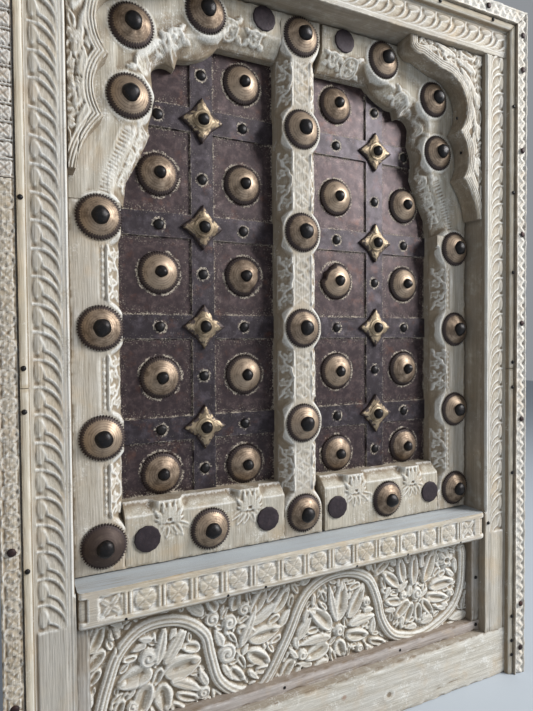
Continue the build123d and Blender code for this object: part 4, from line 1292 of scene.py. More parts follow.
stem_gap, _ = distance_to(smooth_line(stem_points, 5), panel.x, panel.z)
for shape, leaves in ((leaf, panel_blades), (cup, panel_cups)):
    for foot_x, foot_z, tip_x, tip_z, width, bend in leaves:
        rise = panel_rise * chance.uniform(0.75, 1.05)
        panel.lay(shape, (foot_x, foot_z), (tip_x, tip_z), width, rise, bend, 4)
for x, z, radius, hand in panel_volutes:
    panel.stamp(x, z, chance.uniform(0, 360), radius + 1, volute(radius, panel_rise * 1.1, 1.5, hand))
panel.stamp(*flower_hole, 0, 18, flower(16, panel_rise, 6, 15))
panel.stamp(*flower_hole, 0, 8, ring(5.5, 2.2, panel_rise * 1.15))
panel.closed = stem_gap < 10
panel.fill(6, 4.4, 10, panel_rise * 0.8, 82)
panel.fill(5, 2.6, 6, panel_rise * 0.6, 83)
stem_half = 8
stem_ridge = round_top(stem_gap / stem_half) * (panel_rise + 0.8)
stem_lines = hump(stem_gap - 2.9, 0.9) * (stem_gap < 5.5)
stem_crests = np.maximum(hump(stem_gap, 1.1), hump(stem_gap - 5.4, 1.0))
panel.ornament = np.where(stem_gap < stem_half + 1.6, 0, panel.ornament)
panel.ornament = np.maximum(panel.ornament, (stem_ridge - 2.2 * stem_lines) * (stem_ridge > 0))
panel.lime = np.maximum(panel.lime * (stem_gap > stem_half), 0.8 * stem_crests)
hole = hump(np.hypot(panel.x - flower_hole[0], panel.z - flower_hole[1]), 3.6)
panel.ornament *= 1 - hole
ground = smooth(0.2, 1.8, panel.ornament)
panel.base -= (1 - ground) * (panel_rise * 0.3 + 0.5 * ripple(panel.x, panel.z, 9, 81)) + 3 * hole
panel.cut(smooth_line([(-296, 216), (-286, 222), (-276, 216), (-270, 196), (-268, 180)]), 1.8, 6)
panel.cut([(-262, 92), (-240, 150), (-236, 158)], 0.9, 2)
frame_board("carved_lower_panel", panel, panel_face, panel_back, "lower_panel", panel_wood)
tell("with lower panel")

# %% [markdown]
# ## The spandrels
# A spandrel is a cusped bracket in an upper corner of the opening. Its grid is ruled between the
# cusped edge and the corner of the frame, so the rows bend with the cusps. A double rim follows the
# cusps, and flame leaves and small scrolls fill the rest.

# %% Carve the spandrels
spandrel_front, spandrel_back = span("spandrel_left", 1)


def corner_grid(inner, corner, first, last, turn_share, pitch, shares):
    """A board ruled from a cusped line to the two sides that meet at a corner, and its gap to the line."""
    first, corner, last = np.array(first), np.array(corner), np.array(last)
    line, along = spaced(inner, pitch)
    up = np.clip(along / turn_share, 0, 1)[:, None]
    over = np.clip((along - turn_share) / (1 - turn_share), 0, 1)[:, None]
    outer = first + (corner - first) * up + (last - corner) * over
    x = line[:, :1] * (1 - shares) + outer[:, :1] * shares
    z = line[:, 1:] * (1 - shares) + outer[:, 1:] * shares
    gap, _ = distance_to([tuple(p) for p in line[::3]] + [tuple(line[-1])], x, z)
    return Carving((x, z)), gap


spandrel_leaves = [
    (10, 250, 14, 206, 9, 0.05), (12, 214, 30, 186, 12, 0.2), (10, 196, 20, 150, 13, -0.15),
    (14, 160, 26, 128, 12, 0.2), (10, 140, 14, 96, 12, -0.15), (16, 108, 32, 76, 13, 0.2),
    (8, 88, 22, 44, 14, -0.2), (20, 56, 52, 34, 15, 0.2), (14, 34, 58, 10, 14, -0.15),
    (50, 36, 84, 26, 12, 0.2), (58, 14, 100, 8, 12, 0.15), (96, 12, 130, 12, 9, -0.1),
]
spandrel_scrolls = [
    (10, 118, 7), (26, 146, 7), (9, 170, 6), (27, 98, 7), (11, 70, 7), (34, 54, 8), (8, 14, 7), (80, 14, 6),
    (17, 224, 5),
]
for side, word in SIDES:
    def place(inset, drop):
        """A point given by its distances from the side and the top of the opening."""
        return (side * (opening_half - inset), soffit - drop)

    cusps = [place(9, 263), *arc(place(9, 263), place(20, 228), place(40, 200))]
    cusps += arc(place(40, 200), place(30, 162), place(47, 127))
    cusps += arc(place(47, 127), place(42, 62), place(86, 39), 22)
    cusps += [place(125, 25), *arc(place(125, 25), place(140, 23), place(148, 15)), place(148, 0.5)]
    shares = cuts(0, (0.3, 0.022), (1, 0.035))
    spandrel, gap = corner_grid(cusps, place(1.2, 0.4), place(1.2, 263), place(148, 0.4), 0.62, 1.35, shares)
    rim = smooth(13.6, 12.6, gap)
    spandrel.base -= 3.6 * (1 - rim)
    for groove in (3.0, 6.6, 10.0):
        spandrel.base -= 1.9 * hump(gap - groove, 0.8)
        spandrel.whiten(0.8 * hump(gap - groove - 1.7, 0.8))
    spandrel.base -= 1.2 * hump(gap, 1.2)
    for foot_in, foot_down, tip_in, tip_down, width, bend in spandrel_leaves:
        foot, tip = place(foot_in, foot_down), place(tip_in, tip_down)
        spandrel.lay(leaf, foot, tip, width, 3.8, bend * -side, 3)
    for inset, drop, radius in spandrel_scrolls:
        x, z = place(inset, drop)
        spandrel.stamp(x, z, 90 * side, radius + 1, volute(radius, 4.4, 1.3, side))
    spandrel.closed = rim > 0.3
    spandrel.fill(5, 2.6, 8, 3.2, 95 + side)
    spandrel.ornament *= 1 - rim
    spandrel.wear(0.9, 1.4, 90 + side)
    if side < 0:
        for crack in (
            [place(11, 135), place(9, 165), place(13, 190)], [place(40, 138), place(34, 160), place(31, 176)],
            [place(28, 196), place(14, 224), place(9, 262)],
        ):
            spandrel.cut(crack, 1.1, 3)
    node = f"spandrel_{word}"
    frame_board(f"carved_{node}", spandrel, spandrel_front, spandrel_back, node, spandrel_wood)
tell("with spandrels")

# %% [markdown]
# ## The carved overlays of the leaves
# Stiles, foot rails, arches and the meeting stile are thick boards on top of the iron. Their inner
# edges are bevelled between the bosses, and each boss sits on a block that keeps its full section.
# The bevel's depth comes from the distance to the edge, and it fades out round each boss.

# %% Bevels and their vines
bevel_width = 17
bevel_depth = 20
block_reach = 31
block_slope = 7


def places_of(kind):
    """The middles of one kind of boss or nail on each leaf, as x and z."""
    return {word: [(x, z) for x, z, _ in centres_of(f"{word}_{kind}")] for _, word in SIDES}


leaf_bosses, leaf_flats = places_of("frame_bosses"), places_of("flat_nails")


def open_share(carving, blocks, reach=block_reach):
    """0 on the block round each boss and 1 between the bosses."""
    share = np.ones_like(carving.x)
    for x, z in blocks:
        share = np.minimum(share, smooth(reach, reach + block_slope, np.hypot(carving.x - x, carving.z - z)))
    return share


def bevel(carving, gap, blocks, seed, width=bevel_width):
    """Cuts a bevel along an edge, given the distance to it, paints shade on its slope, and limes its lip."""
    share = open_share(carving, blocks)
    slope = np.clip(1 - gap / width, 0, 1)
    carving.base -= bevel_depth * slope * share
    on_bevel = (slope > 0) * share
    carving.base += 0.35 * on_bevel * ripple(carving.x, carving.z, 9, seed)
    # The slope of the bevel gets painted shade.
    carving.dirt += 0.22 * on_bevel
    lip = hump(gap - width - 1.4, 1.0) * share
    carving.base -= 1.0 * lip
    carving.whiten(0.8 * lip)
    return share


def bevel_vine(carving, x, low, high, size):
    """Two tiles of vine along an upright bevel, between the bosses at two levels."""
    half = (high - low - 2 * block_reach - 2) / 2 / 2
    for way in (-1, 1):
        tile = vine_tile(half, size, chance.uniform(4.0, 4.6), way)
        carving.stamp(x, (low + high) / 2 + way * half, 90 + chance.uniform(-2, 2), half + size, tile)


def chain(carving, x, low, high, share):
    """A narrow carved chain beside a bevel."""
    gap = np.abs(carving.x - x)
    phase = (carving.z / 8.5) % 1
    inside = (gap < 3.4) * (carving.z > low) * (carving.z < high)
    links = np.clip(1 - gap / 3.0 - np.abs(phase - 0.5) * 1.5, 0, 1)
    carving.base += inside * share * (-1.5 + 2.4 * links)
    carving.whiten(0.35 * inside * share * (links > 0) * (links < 0.2))


# %% Stiles
panel_edge = -span("left_stile", 0)[1]
stile_outer = -span("left_stile", 0)[0]
leaf_bottom, arch_bottom = span("left_stile", 2)
for side, word in SIDES:
    columns = np.sort(side * cuts(panel_edge, (panel_edge + 27, 1.2), (stile_outer, 4)))
    stile = Carving(columns, cuts(leaf_bottom, (arch_bottom, 1.45)))
    blocks = leaf_bosses[word]
    levels = sorted(z for x, z in blocks if abs(abs(x) - panel_edge) < 45 and z < arch_bottom)
    gap = np.abs(stile.x) - panel_edge
    in_open = (stile.z > levels[0]) & (stile.z < levels[-1])
    share = bevel(stile, np.where(in_open, gap, 99), blocks, 100 + side)
    for low, high in zip(levels, levels[1:]):
        bevel_vine(stile, side * (panel_edge + 9), low, high, 9.0)
        chain(stile, side * (panel_edge + bevel_width + 5.5), low, high, share)
    stile.ornament *= share
    stile.cut([(side * 300, 500), (side * 301.5, 560), (side * 300, 640)], 0.8, 1.2)
    stile.cut([(side * 272, 330), (side * 271, 360), (side * 273, 390)], 0.7, 1.0)
    stile.base += 0.2 * ripple(stile.x * 3, stile.z / 12, 10, 103 + side)
    stile.wear(1.0, 1.8, 105 + side)
    leaf_board(f"carved_stile_{word}", stile, word, f"{word}_stile", stile_wood)

# %% Meeting stile
meeting_half = span("meeting_stile", 0)[1]
leaf_top = span("meeting_stile", 2)[1]
lattice_pitch = 18
lattice_width = 26
meeting = Carving(cuts(-meeting_half, (meeting_half, 1.25)), cuts(leaf_bottom, (leaf_top, 1.4)))
blocks = [place for place in leaf_bosses["left"] if abs(place[0]) < meeting_half]
levels = sorted(z for _, z in blocks)
gap = meeting_half - np.abs(meeting.x)
in_open = (meeting.z > levels[0]) & (meeting.z < levels[-1])
share = bevel(meeting, np.where(in_open, gap, 99), blocks, 110)
for low, high in zip(levels, levels[1:]):
    for side in (-1, 1):
        bevel_vine(meeting, side * (meeting_half - 8.0), low, high, 8.2)
meeting.ornament *= share
uneven = 1.8 * ripple(meeting.x, meeting.z, 17, 111)
sideways = meeting.x * lattice_pitch / lattice_width
rise = sideways + meeting.z + uneven
fall = sideways - meeting.z + uneven
line_rise = np.abs((rise / lattice_pitch) % 1 - 0.5) * lattice_pitch
line_fall = np.abs((fall / lattice_pitch) % 1 - 0.5) * lattice_pitch
lattice = np.maximum(hump(line_rise, 1.9), hump(line_fall, 1.9))
flat_part = smooth(bevel_width + 2.0, bevel_width + 3.4, gap) * share * in_open
scratched = np.clip(0.75 + 0.6 * ripple(meeting.x * 1.5, meeting.z, 9, 113), 0, 1.4)
meeting.base -= 1.2 * flat_part * (1 - lattice) * scratched
meeting.whiten(flat_part * lattice * scratched * 0.45)
meeting.wear(1.0, 1.8, 112)
leaf_board("carved_meeting_stile", meeting, "left", "meeting_stile", stile_wood)
tell("with stiles")

# %% Foot rails
rail_level = span("left_leaf_rail", 2)[1]
rail_bevel_width = 15
flower_leaves = (
    (90, 21, 9), (55, 22, 7.5), (125, 22, 7.5), (22, 21, 8), (158, 21, 8), (-6, 15, 7), (186, 15, 7),
)
flower_cups = ((-22, 26), (-46, 22), (-74, 17), (-104, 18), (-132, 23), (-160, 26))
for side, word in SIDES:
    low_x, high_x = span(f"{word}_leaf_rail", 0)
    rail = Carving(cuts(low_x, (high_x, 1.25)), cuts(leaf_bottom, (rail_level, 1.25)))
    blocks = [place for place in leaf_bosses[word] if low_x < place[0] < high_x and place[1] < rail_level]
    nails = [place for place in leaf_flats[word] if place[1] < rail_level]
    flowers = [low_x + share * (high_x - low_x) for share in (0.25, 0.755)]
    gap = rail_level - rail.z
    off_flower = np.min([smooth(13, 24, np.abs(rail.x - x)) for x in flowers], axis=0)
    bevel_share = off_flower * smooth(rail_bevel_width + 3, rail_bevel_width - 3, gap)
    rail.base -= 17 * np.clip(1 - gap / rail_bevel_width, 0, 1) * off_flower
    # The bevel of the foot rail gets painted shade.
    rail.dirt += 0.6 * bevel_share
    rail.whiten(0.7 * hump(gap - rail_bevel_width, 1.0) * off_flower)
    for x in flowers:
        foot_z = rail_level - 26
        for lean, length, width in flower_leaves:
            c, s = aim(lean)
            bend = 0.35 * np.sign(lean - 90)
            rail.stamp(x + 3 * c, foot_z + 3 * s, lean, 28, leaf(length, width, 1.9, -bend))
        rail.stamp(x, foot_z + 4, 0, 10, ring(6.5, 1.2, 1.6))
        for lean, length in flower_cups:
            c, s = aim(lean)
            rail.stamp(x + 9 * c, foot_z + 6 * s, lean, 30, cup(length, 8, 1.3, chance.uniform(-0.3, 0.3)))
    clear = np.minimum(open_share(rail, blocks, 27.5), open_share(rail, nails, 16))
    rail.ornament *= clear
    rail.lime *= 0.7
    near_flower = np.max([smooth(34, 22, np.abs(rail.x - x)) for x in flowers], axis=0)
    ground = smooth(0.1, 1.0, rail.ornament)
    rail.base -= 0.9 * clear * (1 - ground) * near_flower * smooth(rail_level - 56, rail_level - 40, rail.z)
    rough = 1 + 0.5 * ripple(rail.x, rail.z, 6, 126)
    rail.base += 0.9 * rough * hump(gap - 1.2, 1.6)
    rail.whiten(0.8 * smooth(2.8, 1.4, gap / rough))
    rail.wear(1.0, 1.8, 122 + side)
    leaf_board(f"carved_leaf_rail_{word}", rail, word, f"{word}_leaf_rail", arch_wood)

# %% Arches
arch_height = leaf_top - arch_bottom
arch_head = 60
arch_bevel_width = 23
arch_flowers = {
    "left": [
        (-109, 975, 13, 1.1, 10), (-182, 946, 11, 1.1, 30), (-222, 906, 12, 1, 60), (-228, 815, 12, 1.2, 60),
        (-242, 790, 10, 1, 60), (-252, 764, 12, 1, 80), (-70, 972, 9, 1, 0), (-200, 930, 8, 1, 45),
    ],
    "right": [
        (87, 966, 13, 1.15, 10), (57, 972, 9, 1, 0), (183, 936, 12, 1, -40), (200, 918, 11, 1, -50),
        (218, 900, 12, 1, -60), (225, 815, 13, 1, -60), (241, 788, 12, 1.1, -60), (257, 762, 11, 1, -70),
    ],
}
for side, word, shift in ((-1, "left", 3), (1, "right", -5)):
    low_x, high_x = span(f"{word}_arch", 0)
    inner_x = high_x if side < 0 else low_x

    def place(inset, drop):
        """A point given by its distances from the outer side and the top of the leaf."""
        return (side * (stile_outer - inset - shift), leaf_top - drop)

    cusps = [place(64, arch_height), place(67, 256), *arc(place(67, 256), place(85, 222), place(98, 192))]
    cusps += arc(place(98, 192), place(97, 168), place(104, 143))
    cusps += [place(101, 112), *arc(place(101, 112), place(109, 100), place(132, 101))]
    cusps += [place(136, 87), *arc(place(136, 87), place(169, 79), place(192, arch_head))]
    cusps += [(inner_x, leaf_top - arch_head)]
    shares = cuts(0, (0.4, 0.0175), (1, 0.03))
    corner, foot = (side * stile_outer, leaf_top), (side * stile_outer, arch_bottom)
    arch, gap = corner_grid(cusps, corner, foot, (inner_x, leaf_top), 0.52, 1.55, shares)
    blocks = leaf_bosses[word]
    nails = [spot for spot in leaf_flats[word] if spot[1] > arch_bottom]
    bevel(arch, gap, blocks, 130 + side, arch_bevel_width)
    for x, z, radius, stretch, turn in arch_flowers[word]:
        petals = 5 if radius > 11 else 4
        arch.stamp(x, z, turn, radius * stretch + 3, scroll_flower(radius, 3.8, petals, stretch))
        for lean in (-35, 30, 150, 205):
            c, s = aim(turn + lean)
            grown = leaf(radius * 1.1, 6.5, 2.6, chance.uniform(-0.2, 0.2))
            arch.stamp(x + c * radius * 0.95, z + s * radius * 0.95, turn + lean, 18, grown)
    ladder = [place(36, 284), place(42, 258), place(54, 228), place(68, 196)]
    ladder_gap, ladder_share = distance_to(smooth_line(ladder), arch.x, arch.z)
    ribs = np.abs((ladder_share * 21) % 1 - 0.5) * 2
    on_ladder = smooth(6.5, 5.5, ladder_gap)
    arch.base -= on_ladder * (1.8 - 2.0 * smooth(0.3, 0.8, ribs))
    arch.base += 0.8 * round_top((ladder_gap - 9.5) / 2.2) * (arch.x * side < 262)
    arch.ornament *= smooth(12, 14, ladder_gap)
    arch.whiten(0.7 * on_ladder * smooth(0.5, 0.9, ribs))
    for x, z in blocks:
        arch.stamp(x, z, 0, 34, ring(29.4, 1.4, 1.2))
    clear = np.minimum(open_share(arch, blocks, 27.8), open_share(arch, nails, 16))
    rings_kept = open_share(arch, blocks, 26.5)
    arch.ornament *= np.maximum(clear, 0.9 * (rings_kept > 0.05) * (arch.ornament < 1.3))
    ground = smooth(0.1, 1.1, arch.ornament)
    beyond_bevel = smooth(arch_bevel_width - 4, arch_bevel_width + 2, gap)
    arch.base -= 1.7 * clear * (1 - ground) * beyond_bevel * smooth(52, 44, gap)
    arch.wear(0.9, 1.6, 132 + side)
    leaf_board(f"carved_arch_{word}", arch, word, f"{word}_arch", arch_wood)
tell("with arches")

# %% [markdown]
# ## The iron sheets and straps
# Four rows of sheets cover the boards of a leaf, and the straps hide their seams. Old sheet is never
# flat, so its grid is bent a little. The mesh also stores how far each point is from the next seam
# and from the next boss, for the lime that the brush left there.

# %% Sheets and straps


def iron_board(name, columns, rows, face, back, x_lines, z_lines, rims, swell, seed):
    """A thin sheet, slightly bent, that knows its distance to the lines and to the rims on it."""
    sheet = Carving(columns, rows)
    sheet.base += swell * (ripple(sheet.x, sheet.z, 60, seed) + 0.4 * ripple(sheet.x, sheet.z, 17, seed + 1))
    sheet.base -= swell * 1.5
    edge = np.full_like(sheet.x, 99.0)
    for places, lines in ((sheet.x, x_lines), (sheet.z, z_lines)):
        for line in lines:
            edge = np.minimum(edge, np.abs(places - line))
    rim = np.full_like(sheet.x, 99.0)
    for x, z, radius in rims:
        rim = np.minimum(rim, np.hypot(sheet.x - x, sheet.z - z) - radius)
    piece = make_board(name, sheet, face, back)
    mesh = piece.data
    places = points_of(mesh) / MM
    column = np.abs(places[:, :1] - columns[None, :]).argmin(1)
    row = np.abs(places[:, 2:] - rows[None, :]).argmin(1)
    set_values(mesh, "edge", edge[row, column])
    set_values(mesh, "rim", rim[row, column])
    return piece


def with_lines(levels, lines):
    """The same levels with extra ones at the lines, and none closer than 1.5 mm."""
    inside = [line for line in lines if levels[0] + 1.5 < line < levels[-1] - 1.5]
    kept = [level for level in levels[1:-1] if all(abs(level - line) > 1.5 for line in inside)]
    return np.array(sorted([levels[0], levels[-1], *inside, *kept]))


def strap(word, name, box, upright, seed, nodes):
    """A strap of a leaf, with fine columns or rows across it and lime along its two long sides."""
    (low_x, _, low_z), (high_x, _, high_z) = box
    columns = cuts(low_x, (high_x, 1.8 if upright else 3.4))
    rows = cuts(low_z, (high_z, 3.4 if upright else 1.8))
    sides = ([low_x, high_x], []) if upright else ([], [low_z, high_z])
    nails = [(x, z, 8.0) for x, z, _ in centres_of(f"{word}_strap_nails")]
    piece = iron_board(f"{word}_{name}", columns, rows, strap_front, sheet_front, *sides, nails, 0.15, seed)
    finish_piece(piece, f"{word}_leaf", nodes, strap_iron)


low_x, high_x = span("left_upright_strap", 0)
strap_half = (high_x - low_x) / 2
for side, word in SIDES:
    crossings = sorted(solids_of(f"{word}_cross_straps"), key=lambda box: (box[0][2], box[0][0]))
    cross_levels = sorted({round((low[2] + high[2]) / 2, 1) for low, high in crossings})
    bosses = [(x, z, 29.5) for x, z, _ in centres_of(f"{word}_panel_bosses")]
    overlay_edge = meeting_half if side < 0 else span("right_leaf_rail", 0)[0]
    x_lines = [*span(f"{word}_upright_strap", 0), side * panel_edge, side * overlay_edge]
    z_lines = [rail_level] + [level + way * strap_half for level in cross_levels for way in (-1, 1)]
    for number, (low, high) in enumerate(solids_of(f"{word}_iron_sheets")):
        columns = with_lines(cuts(low[0], (high[0], 6)), x_lines)
        rows = with_lines(cuts(low[2], (high[2], 6)), z_lines)
        piece = iron_board(
            f"{word}_sheet_{number + 1}", columns, rows, sheet_front, board_front,
            x_lines, z_lines, bosses, 0.22, 140 + number + 20 * (side + 1),
        )
        nodes = [f"{word}_iron_sheets"] if number == 0 else []
        finish_piece(piece, f"{word}_leaf", nodes, sheet_iron)
    node = f"{word}_upright_strap"
    strap(word, "long_strap", solids_of(node)[0], True, 190 + side, [node])
    for number, box in enumerate(crossings):
        nodes = [f"{word}_cross_straps"] if number == 0 else []
        strap(word, f"short_strap_{number + 1}", box, False, 200 + number + side, nodes)
tell("with iron")

# %% [markdown]
# ## Bosses, stars and nails
# A boss is turned in one go, so its profile is spun round its axis. The last ring of points is moved
# in and out by turns, which makes the serrated rim. Every copy then gets its own dents and its own
# turn, because no two old bosses are alike. The stars are spun too, and their rings are stretched to
# four points. A nail head is a rough ball, cut off at its seat.

# %% Spin a boss and a star
TOOTH_STEPS = 96


def turned(name, profile):
    """A closed turned form about the local y axis. The profile is radius and height, from the middle."""
    bm = bmesh.new()
    verts = [bm.verts.new((radius, -height, 0)) for radius, height in profile]
    edges = [bm.edges.new(pair) for pair in zip(verts, verts[1:])]
    turn = {"cent": (0, 0, 0), "axis": (0, 1, 0), "angle": 2 * math.pi, "steps": TOOTH_STEPS}
    bmesh.ops.spin(bm, geom=verts + edges, use_merge=True, **turn)
    bmesh.ops.remove_doubles(bm, verts=bm.verts, dist=0.001)
    bmesh.ops.recalc_face_normals(bm, faces=bm.faces)
    return mesh_from(bm, name)


def copies(name, prototype, placed, values):
    """One piece made of many copies of a form. placed and values hold one array for each copy."""
    bm = bmesh.new()
    for _ in placed:
        bm.from_mesh(prototype)
    mesh = mesh_from(bm, name)
    mesh.vertices.foreach_set("co", (np.concatenate(placed) * MM).astype(np.float32).ravel())
    for label, arrays in values.items():
        set_values(mesh, label, np.concatenate(arrays))
    mesh.shade_smooth()
    mesh.set_sharp_from_angle(angle=math.radians(50))
    return new_piece(name, mesh)


def boss_profile(radius, height):
    """A low hat with turned steps: a flat middle, a swelling crown and a thin rim."""
    shares = [
        (0.0, 1.0), (0.30, 1.0), (0.38, 0.97), (0.50, 0.85), (0.62, 0.68), (0.74, 0.49), (0.83, 0.34),
        (0.88, 0.26), (0.905, 0.24), (0.95, 0.19), (1.0, 0.13),
    ]
    top = [(radius * r, height * h) for r, h in shares]
    return top + [(radius * 0.99, 0.2), (radius * 0.9, 0.0), (0.0, 0.0)]


def aged_boss(points, radius, height, age, torn):
    """A copy of a boss with teeth, dents and a slightly bent rim."""
    x, y, z = points.T
    turn = age.uniform(0, 2 * math.pi)
    r = np.hypot(x, z)
    angle = np.arctan2(z, x)
    step = np.rint((angle % (2 * math.pi)) / (2 * math.pi) * TOOTH_STEPS).astype(int)
    gap = step % 2 == 0
    tooth = np.where(gap & (r > radius * 0.94), np.where(r > radius * 0.985, 0.9, 0.95), 1.0)
    if torn:
        off_tear = np.abs(((angle - torn + math.pi) % (2 * math.pi)) - math.pi)
        tear = smooth(0.75, 0.55, off_tear) * smooth(0.7, 0.9, r / radius)
        tooth = tooth * (1 - tear * (0.16 + 0.05 * np.sin(9 * angle)))
    rise = np.where(gap & (r > radius * 0.86) & (-y > 0.3), -y * 0.4, -y)
    rise *= 1 + 0.05 * np.sin(angle + turn) * (r / radius)
    for _ in range(3):
        dent_angle = age.uniform(0, 2 * math.pi)
        dent_reach = age.uniform(0.45, 0.85) * radius
        away = np.hypot(x - dent_reach * math.cos(dent_angle), z - dent_reach * math.sin(dent_angle))
        rise -= (rise > 0.5) * age.uniform(0.2, 1.1) * hump(away, age.uniform(3, 6))
    rise += (rise > 0.5) * 0.3 * (r / radius) ** 4 * np.sin(3 * angle + turn)
    # The gaps between the teeth get a larger reach, which paints them dark as a shadow under the rim.
    reach = r / radius + 0.16 * (gap & (r > radius * 0.8))
    if torn:
        reach = reach + 0.3 * smooth(0.9, 0.6, off_tear) * smooth(0.55, 0.75, r / radius)
    return np.stack([x * tooth, -np.clip(rise, 0, height), z * tooth], 1), reach


def place_bosses(word, kind, wider, dark_spots, torn_spots):
    """Every boss of one kind on a leaf as one detailed piece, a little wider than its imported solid."""
    node, name = f"{word}_{kind}", f"{word}_brass_{kind}"
    radius, height = size_of(node)
    radius *= wider
    form = turned(name + "_form", boss_profile(radius, height))
    base = points_of(form)
    placed, reaches, owns = [], [], []
    for x, z, seat in centres_of(node):
        torn = next((turn for tx, tz, turn in torn_spots if math.hypot(x - tx, z - tz) < 8), None)
        shape, reach = aged_boss(base, radius, height, chance, torn)
        is_dark = any(math.hypot(x - dx, z - dz) < 8 for dx, dz in dark_spots)
        placed.append(shape + np.array([x, seat, z]))
        reaches.append(reach)
        owns.append(np.full(len(base), 1.0 if is_dark else chance.uniform(0, 0.7)))
    piece = copies(name, form, placed, {"reach": reaches, "own": owns})
    finish_piece(piece, f"{word}_leaf", [node], boss_brass)


dark_on_wood = [min(leaf_bosses["left"], key=lambda spot: spot[0] + spot[1])]
upper_left = min(leaf_bosses["left"], key=lambda spot: spot[0] - spot[1])
torn_on_wood = [(upper_left[0], max(z for _, z in leaf_bosses["left"]), -0.7)]
torn_on_iron = [(77.5, 651.5, 2.4), (-78, 651.5, -0.4)]
for word in ("left", "right"):
    place_bosses(word, "frame_bosses", 1.04, dark_on_wood, torn_on_wood)
    place_bosses(word, "panel_bosses", 1.09, (), torn_on_iron)

# %% Stars
low_x, high_x = span("left_star_bosses", 0)
star_reach = (high_x - low_x) / 2
star_waist = 18.8
star_shares = [
    (0.0, 1.0), (0.3, 1.0), (0.34, 0.84), (0.38, 0.86), (0.46, 0.80), (0.52, 0.64), (0.56, 0.64),
    (0.7, 0.58), (0.88, 0.48), (0.95, 0.40), (1.0, 0.16),
]
for word in ("left", "right"):
    node = f"{word}_star_bosses"
    _, height = size_of(node)
    profile = [(star_reach * r, height * h) for r, h in star_shares] + [(star_reach * 0.97, 0), (0, 0)]
    form = turned(f"{word}_star_form", profile)
    base_x, base_y, base_z = points_of(form).T
    r = np.hypot(base_x, base_z)
    angle = np.arctan2(base_z, base_x)
    long_way = np.maximum(np.abs(np.cos(angle)), np.abs(np.sin(angle)))
    short_way = np.minimum(np.abs(np.cos(angle)), np.abs(np.sin(angle)))
    taper = star_reach / (0.7071 * star_waist) - 1
    outline = 1 / (long_way + taper * short_way)
    bend = smooth(0.35, 0.72, r / star_reach)
    scale = 1 - bend + bend * outline
    ridge = 1 + 0.12 * bend * (1 - 2 * short_way)
    placed, reaches, owns = [], [], []
    for x, z, seat in centres_of(node):
        chip = chance.uniform(0, 2 * math.pi)
        off_chip = ((angle - chip + math.pi) % (2 * math.pi)) - math.pi
        bite = 1 - 0.1 * np.exp(-(off_chip / 0.12) ** 2) * bend
        level = np.maximum(base_y * ridge, -height)
        shape = np.stack([base_x * scale * bite, level, base_z * scale * bite], 1)
        placed.append(shape + np.array([x, seat, z]))
        reaches.append(r / star_reach * 1.02)
        owns.append(np.full(len(r), chance.uniform(0, 0.6)))
    piece = copies(f"{word}_brass_stars", form, placed, {"reach": reaches, "own": owns})
    finish_piece(piece, f"{word}_leaf", [node], star_brass)

# %% Nails


def nail_form(name, finer):
    """A rough half ball of radius 1 on the level y = 0, with its dome towards -y."""
    bm = bmesh.new()
    bmesh.ops.create_icosphere(bm, subdivisions=finer, radius=1)
    geometry = bm.verts[:] + bm.edges[:] + bm.faces[:]
    seat = {"plane_co": (0, 0, 0), "plane_no": (0, 1, 0), "dist": 0.001}
    bmesh.ops.bisect_plane(bm, geom=geometry, clear_outer=True, **seat)
    bmesh.ops.holes_fill(bm, edges=[edge for edge in bm.edges if edge.is_boundary])
    bmesh.ops.recalc_face_normals(bm, faces=bm.faces)
    return mesh_from(bm, name)


def turned_at_random(points):
    """The same points, turned about y by chance."""
    turn = chance.uniform(0, 2 * math.pi)
    c, s = math.cos(turn), math.sin(turn)
    x, y, z = points.T
    return np.stack([x * c - z * s, y, x * s + z * c], 1)


def nail_heads(name, form, spots, size, body, nodes, material, rough=0.1):
    """Nail heads at (x, z, level), each hammered a little differently. size is the radius and the height."""
    radius, height = size
    base = points_of(form)
    placed = []
    for number, (x, z, level) in enumerate(spots):
        shape = turned_at_random(base)
        bumps = 1 - rough * (0.5 + 0.5 * ripple(shape[:, 0] * 9, shape[:, 2] * 9, 12, 300 + number))
        shape *= np.clip(bumps, 0.7, 1.0)[:, None]
        shape *= np.array([radius, height, radius])
        placed.append(shape + np.array([x, level, z]))
    finish_piece(copies(name, form, placed, {}), body, nodes, material)


dome = nail_form("nail_dome", 3)
small_dome = nail_form("small_nail_dome", 2)
leaf_nails_wider = 1.1
LEAF_NAILS = (("boss_nails", dome, 1.35), ("panel_nails", dome, 1.35), ("strap_nails", small_dome, 1.0))


for word in ("left", "right"):
    for kind, form, taller in LEAF_NAILS:
        node = f"{word}_{kind}"
        radius, height = size_of(node)
        size = (radius * leaf_nails_wider, height * taller)
        name = f"{word}_forged_{kind}"
        nail_heads(name, form, centres_of(node), size, f"{word}_leaf", [node], nail_iron, 0.12)

for node, material in (("strip_nails", rusty_iron), ("small_nails", nail_iron)):
    nail_heads(f"forged_{node}", small_dome, centres_of(node), size_of(node), "frame", [node], material)
sill_nail_reaches = (-263, -135, -82, 63, 156, 263)
bead_nail_reaches = (-48, 152)
under_sill = [(x, sill_bottom + 5.5, frame_front + 1.2) for x in sill_nail_reaches]
on_bead = [(x, (rail_top + bead_top) / 2, bead_front + 0.5) for x in bead_nail_reaches]
side_nails = [(opening_half - 42.5, soffit - 103), (opening_half - 34, soffit - 157)]
side_nails = [(x, z, spandrel_front + 14) for x, z in side_nails]
nail_heads("wood_nails", small_dome, under_sill + on_bead + side_nails, (2.6, 1.8), "frame", [], nail_iron)

# %% Flat nail heads


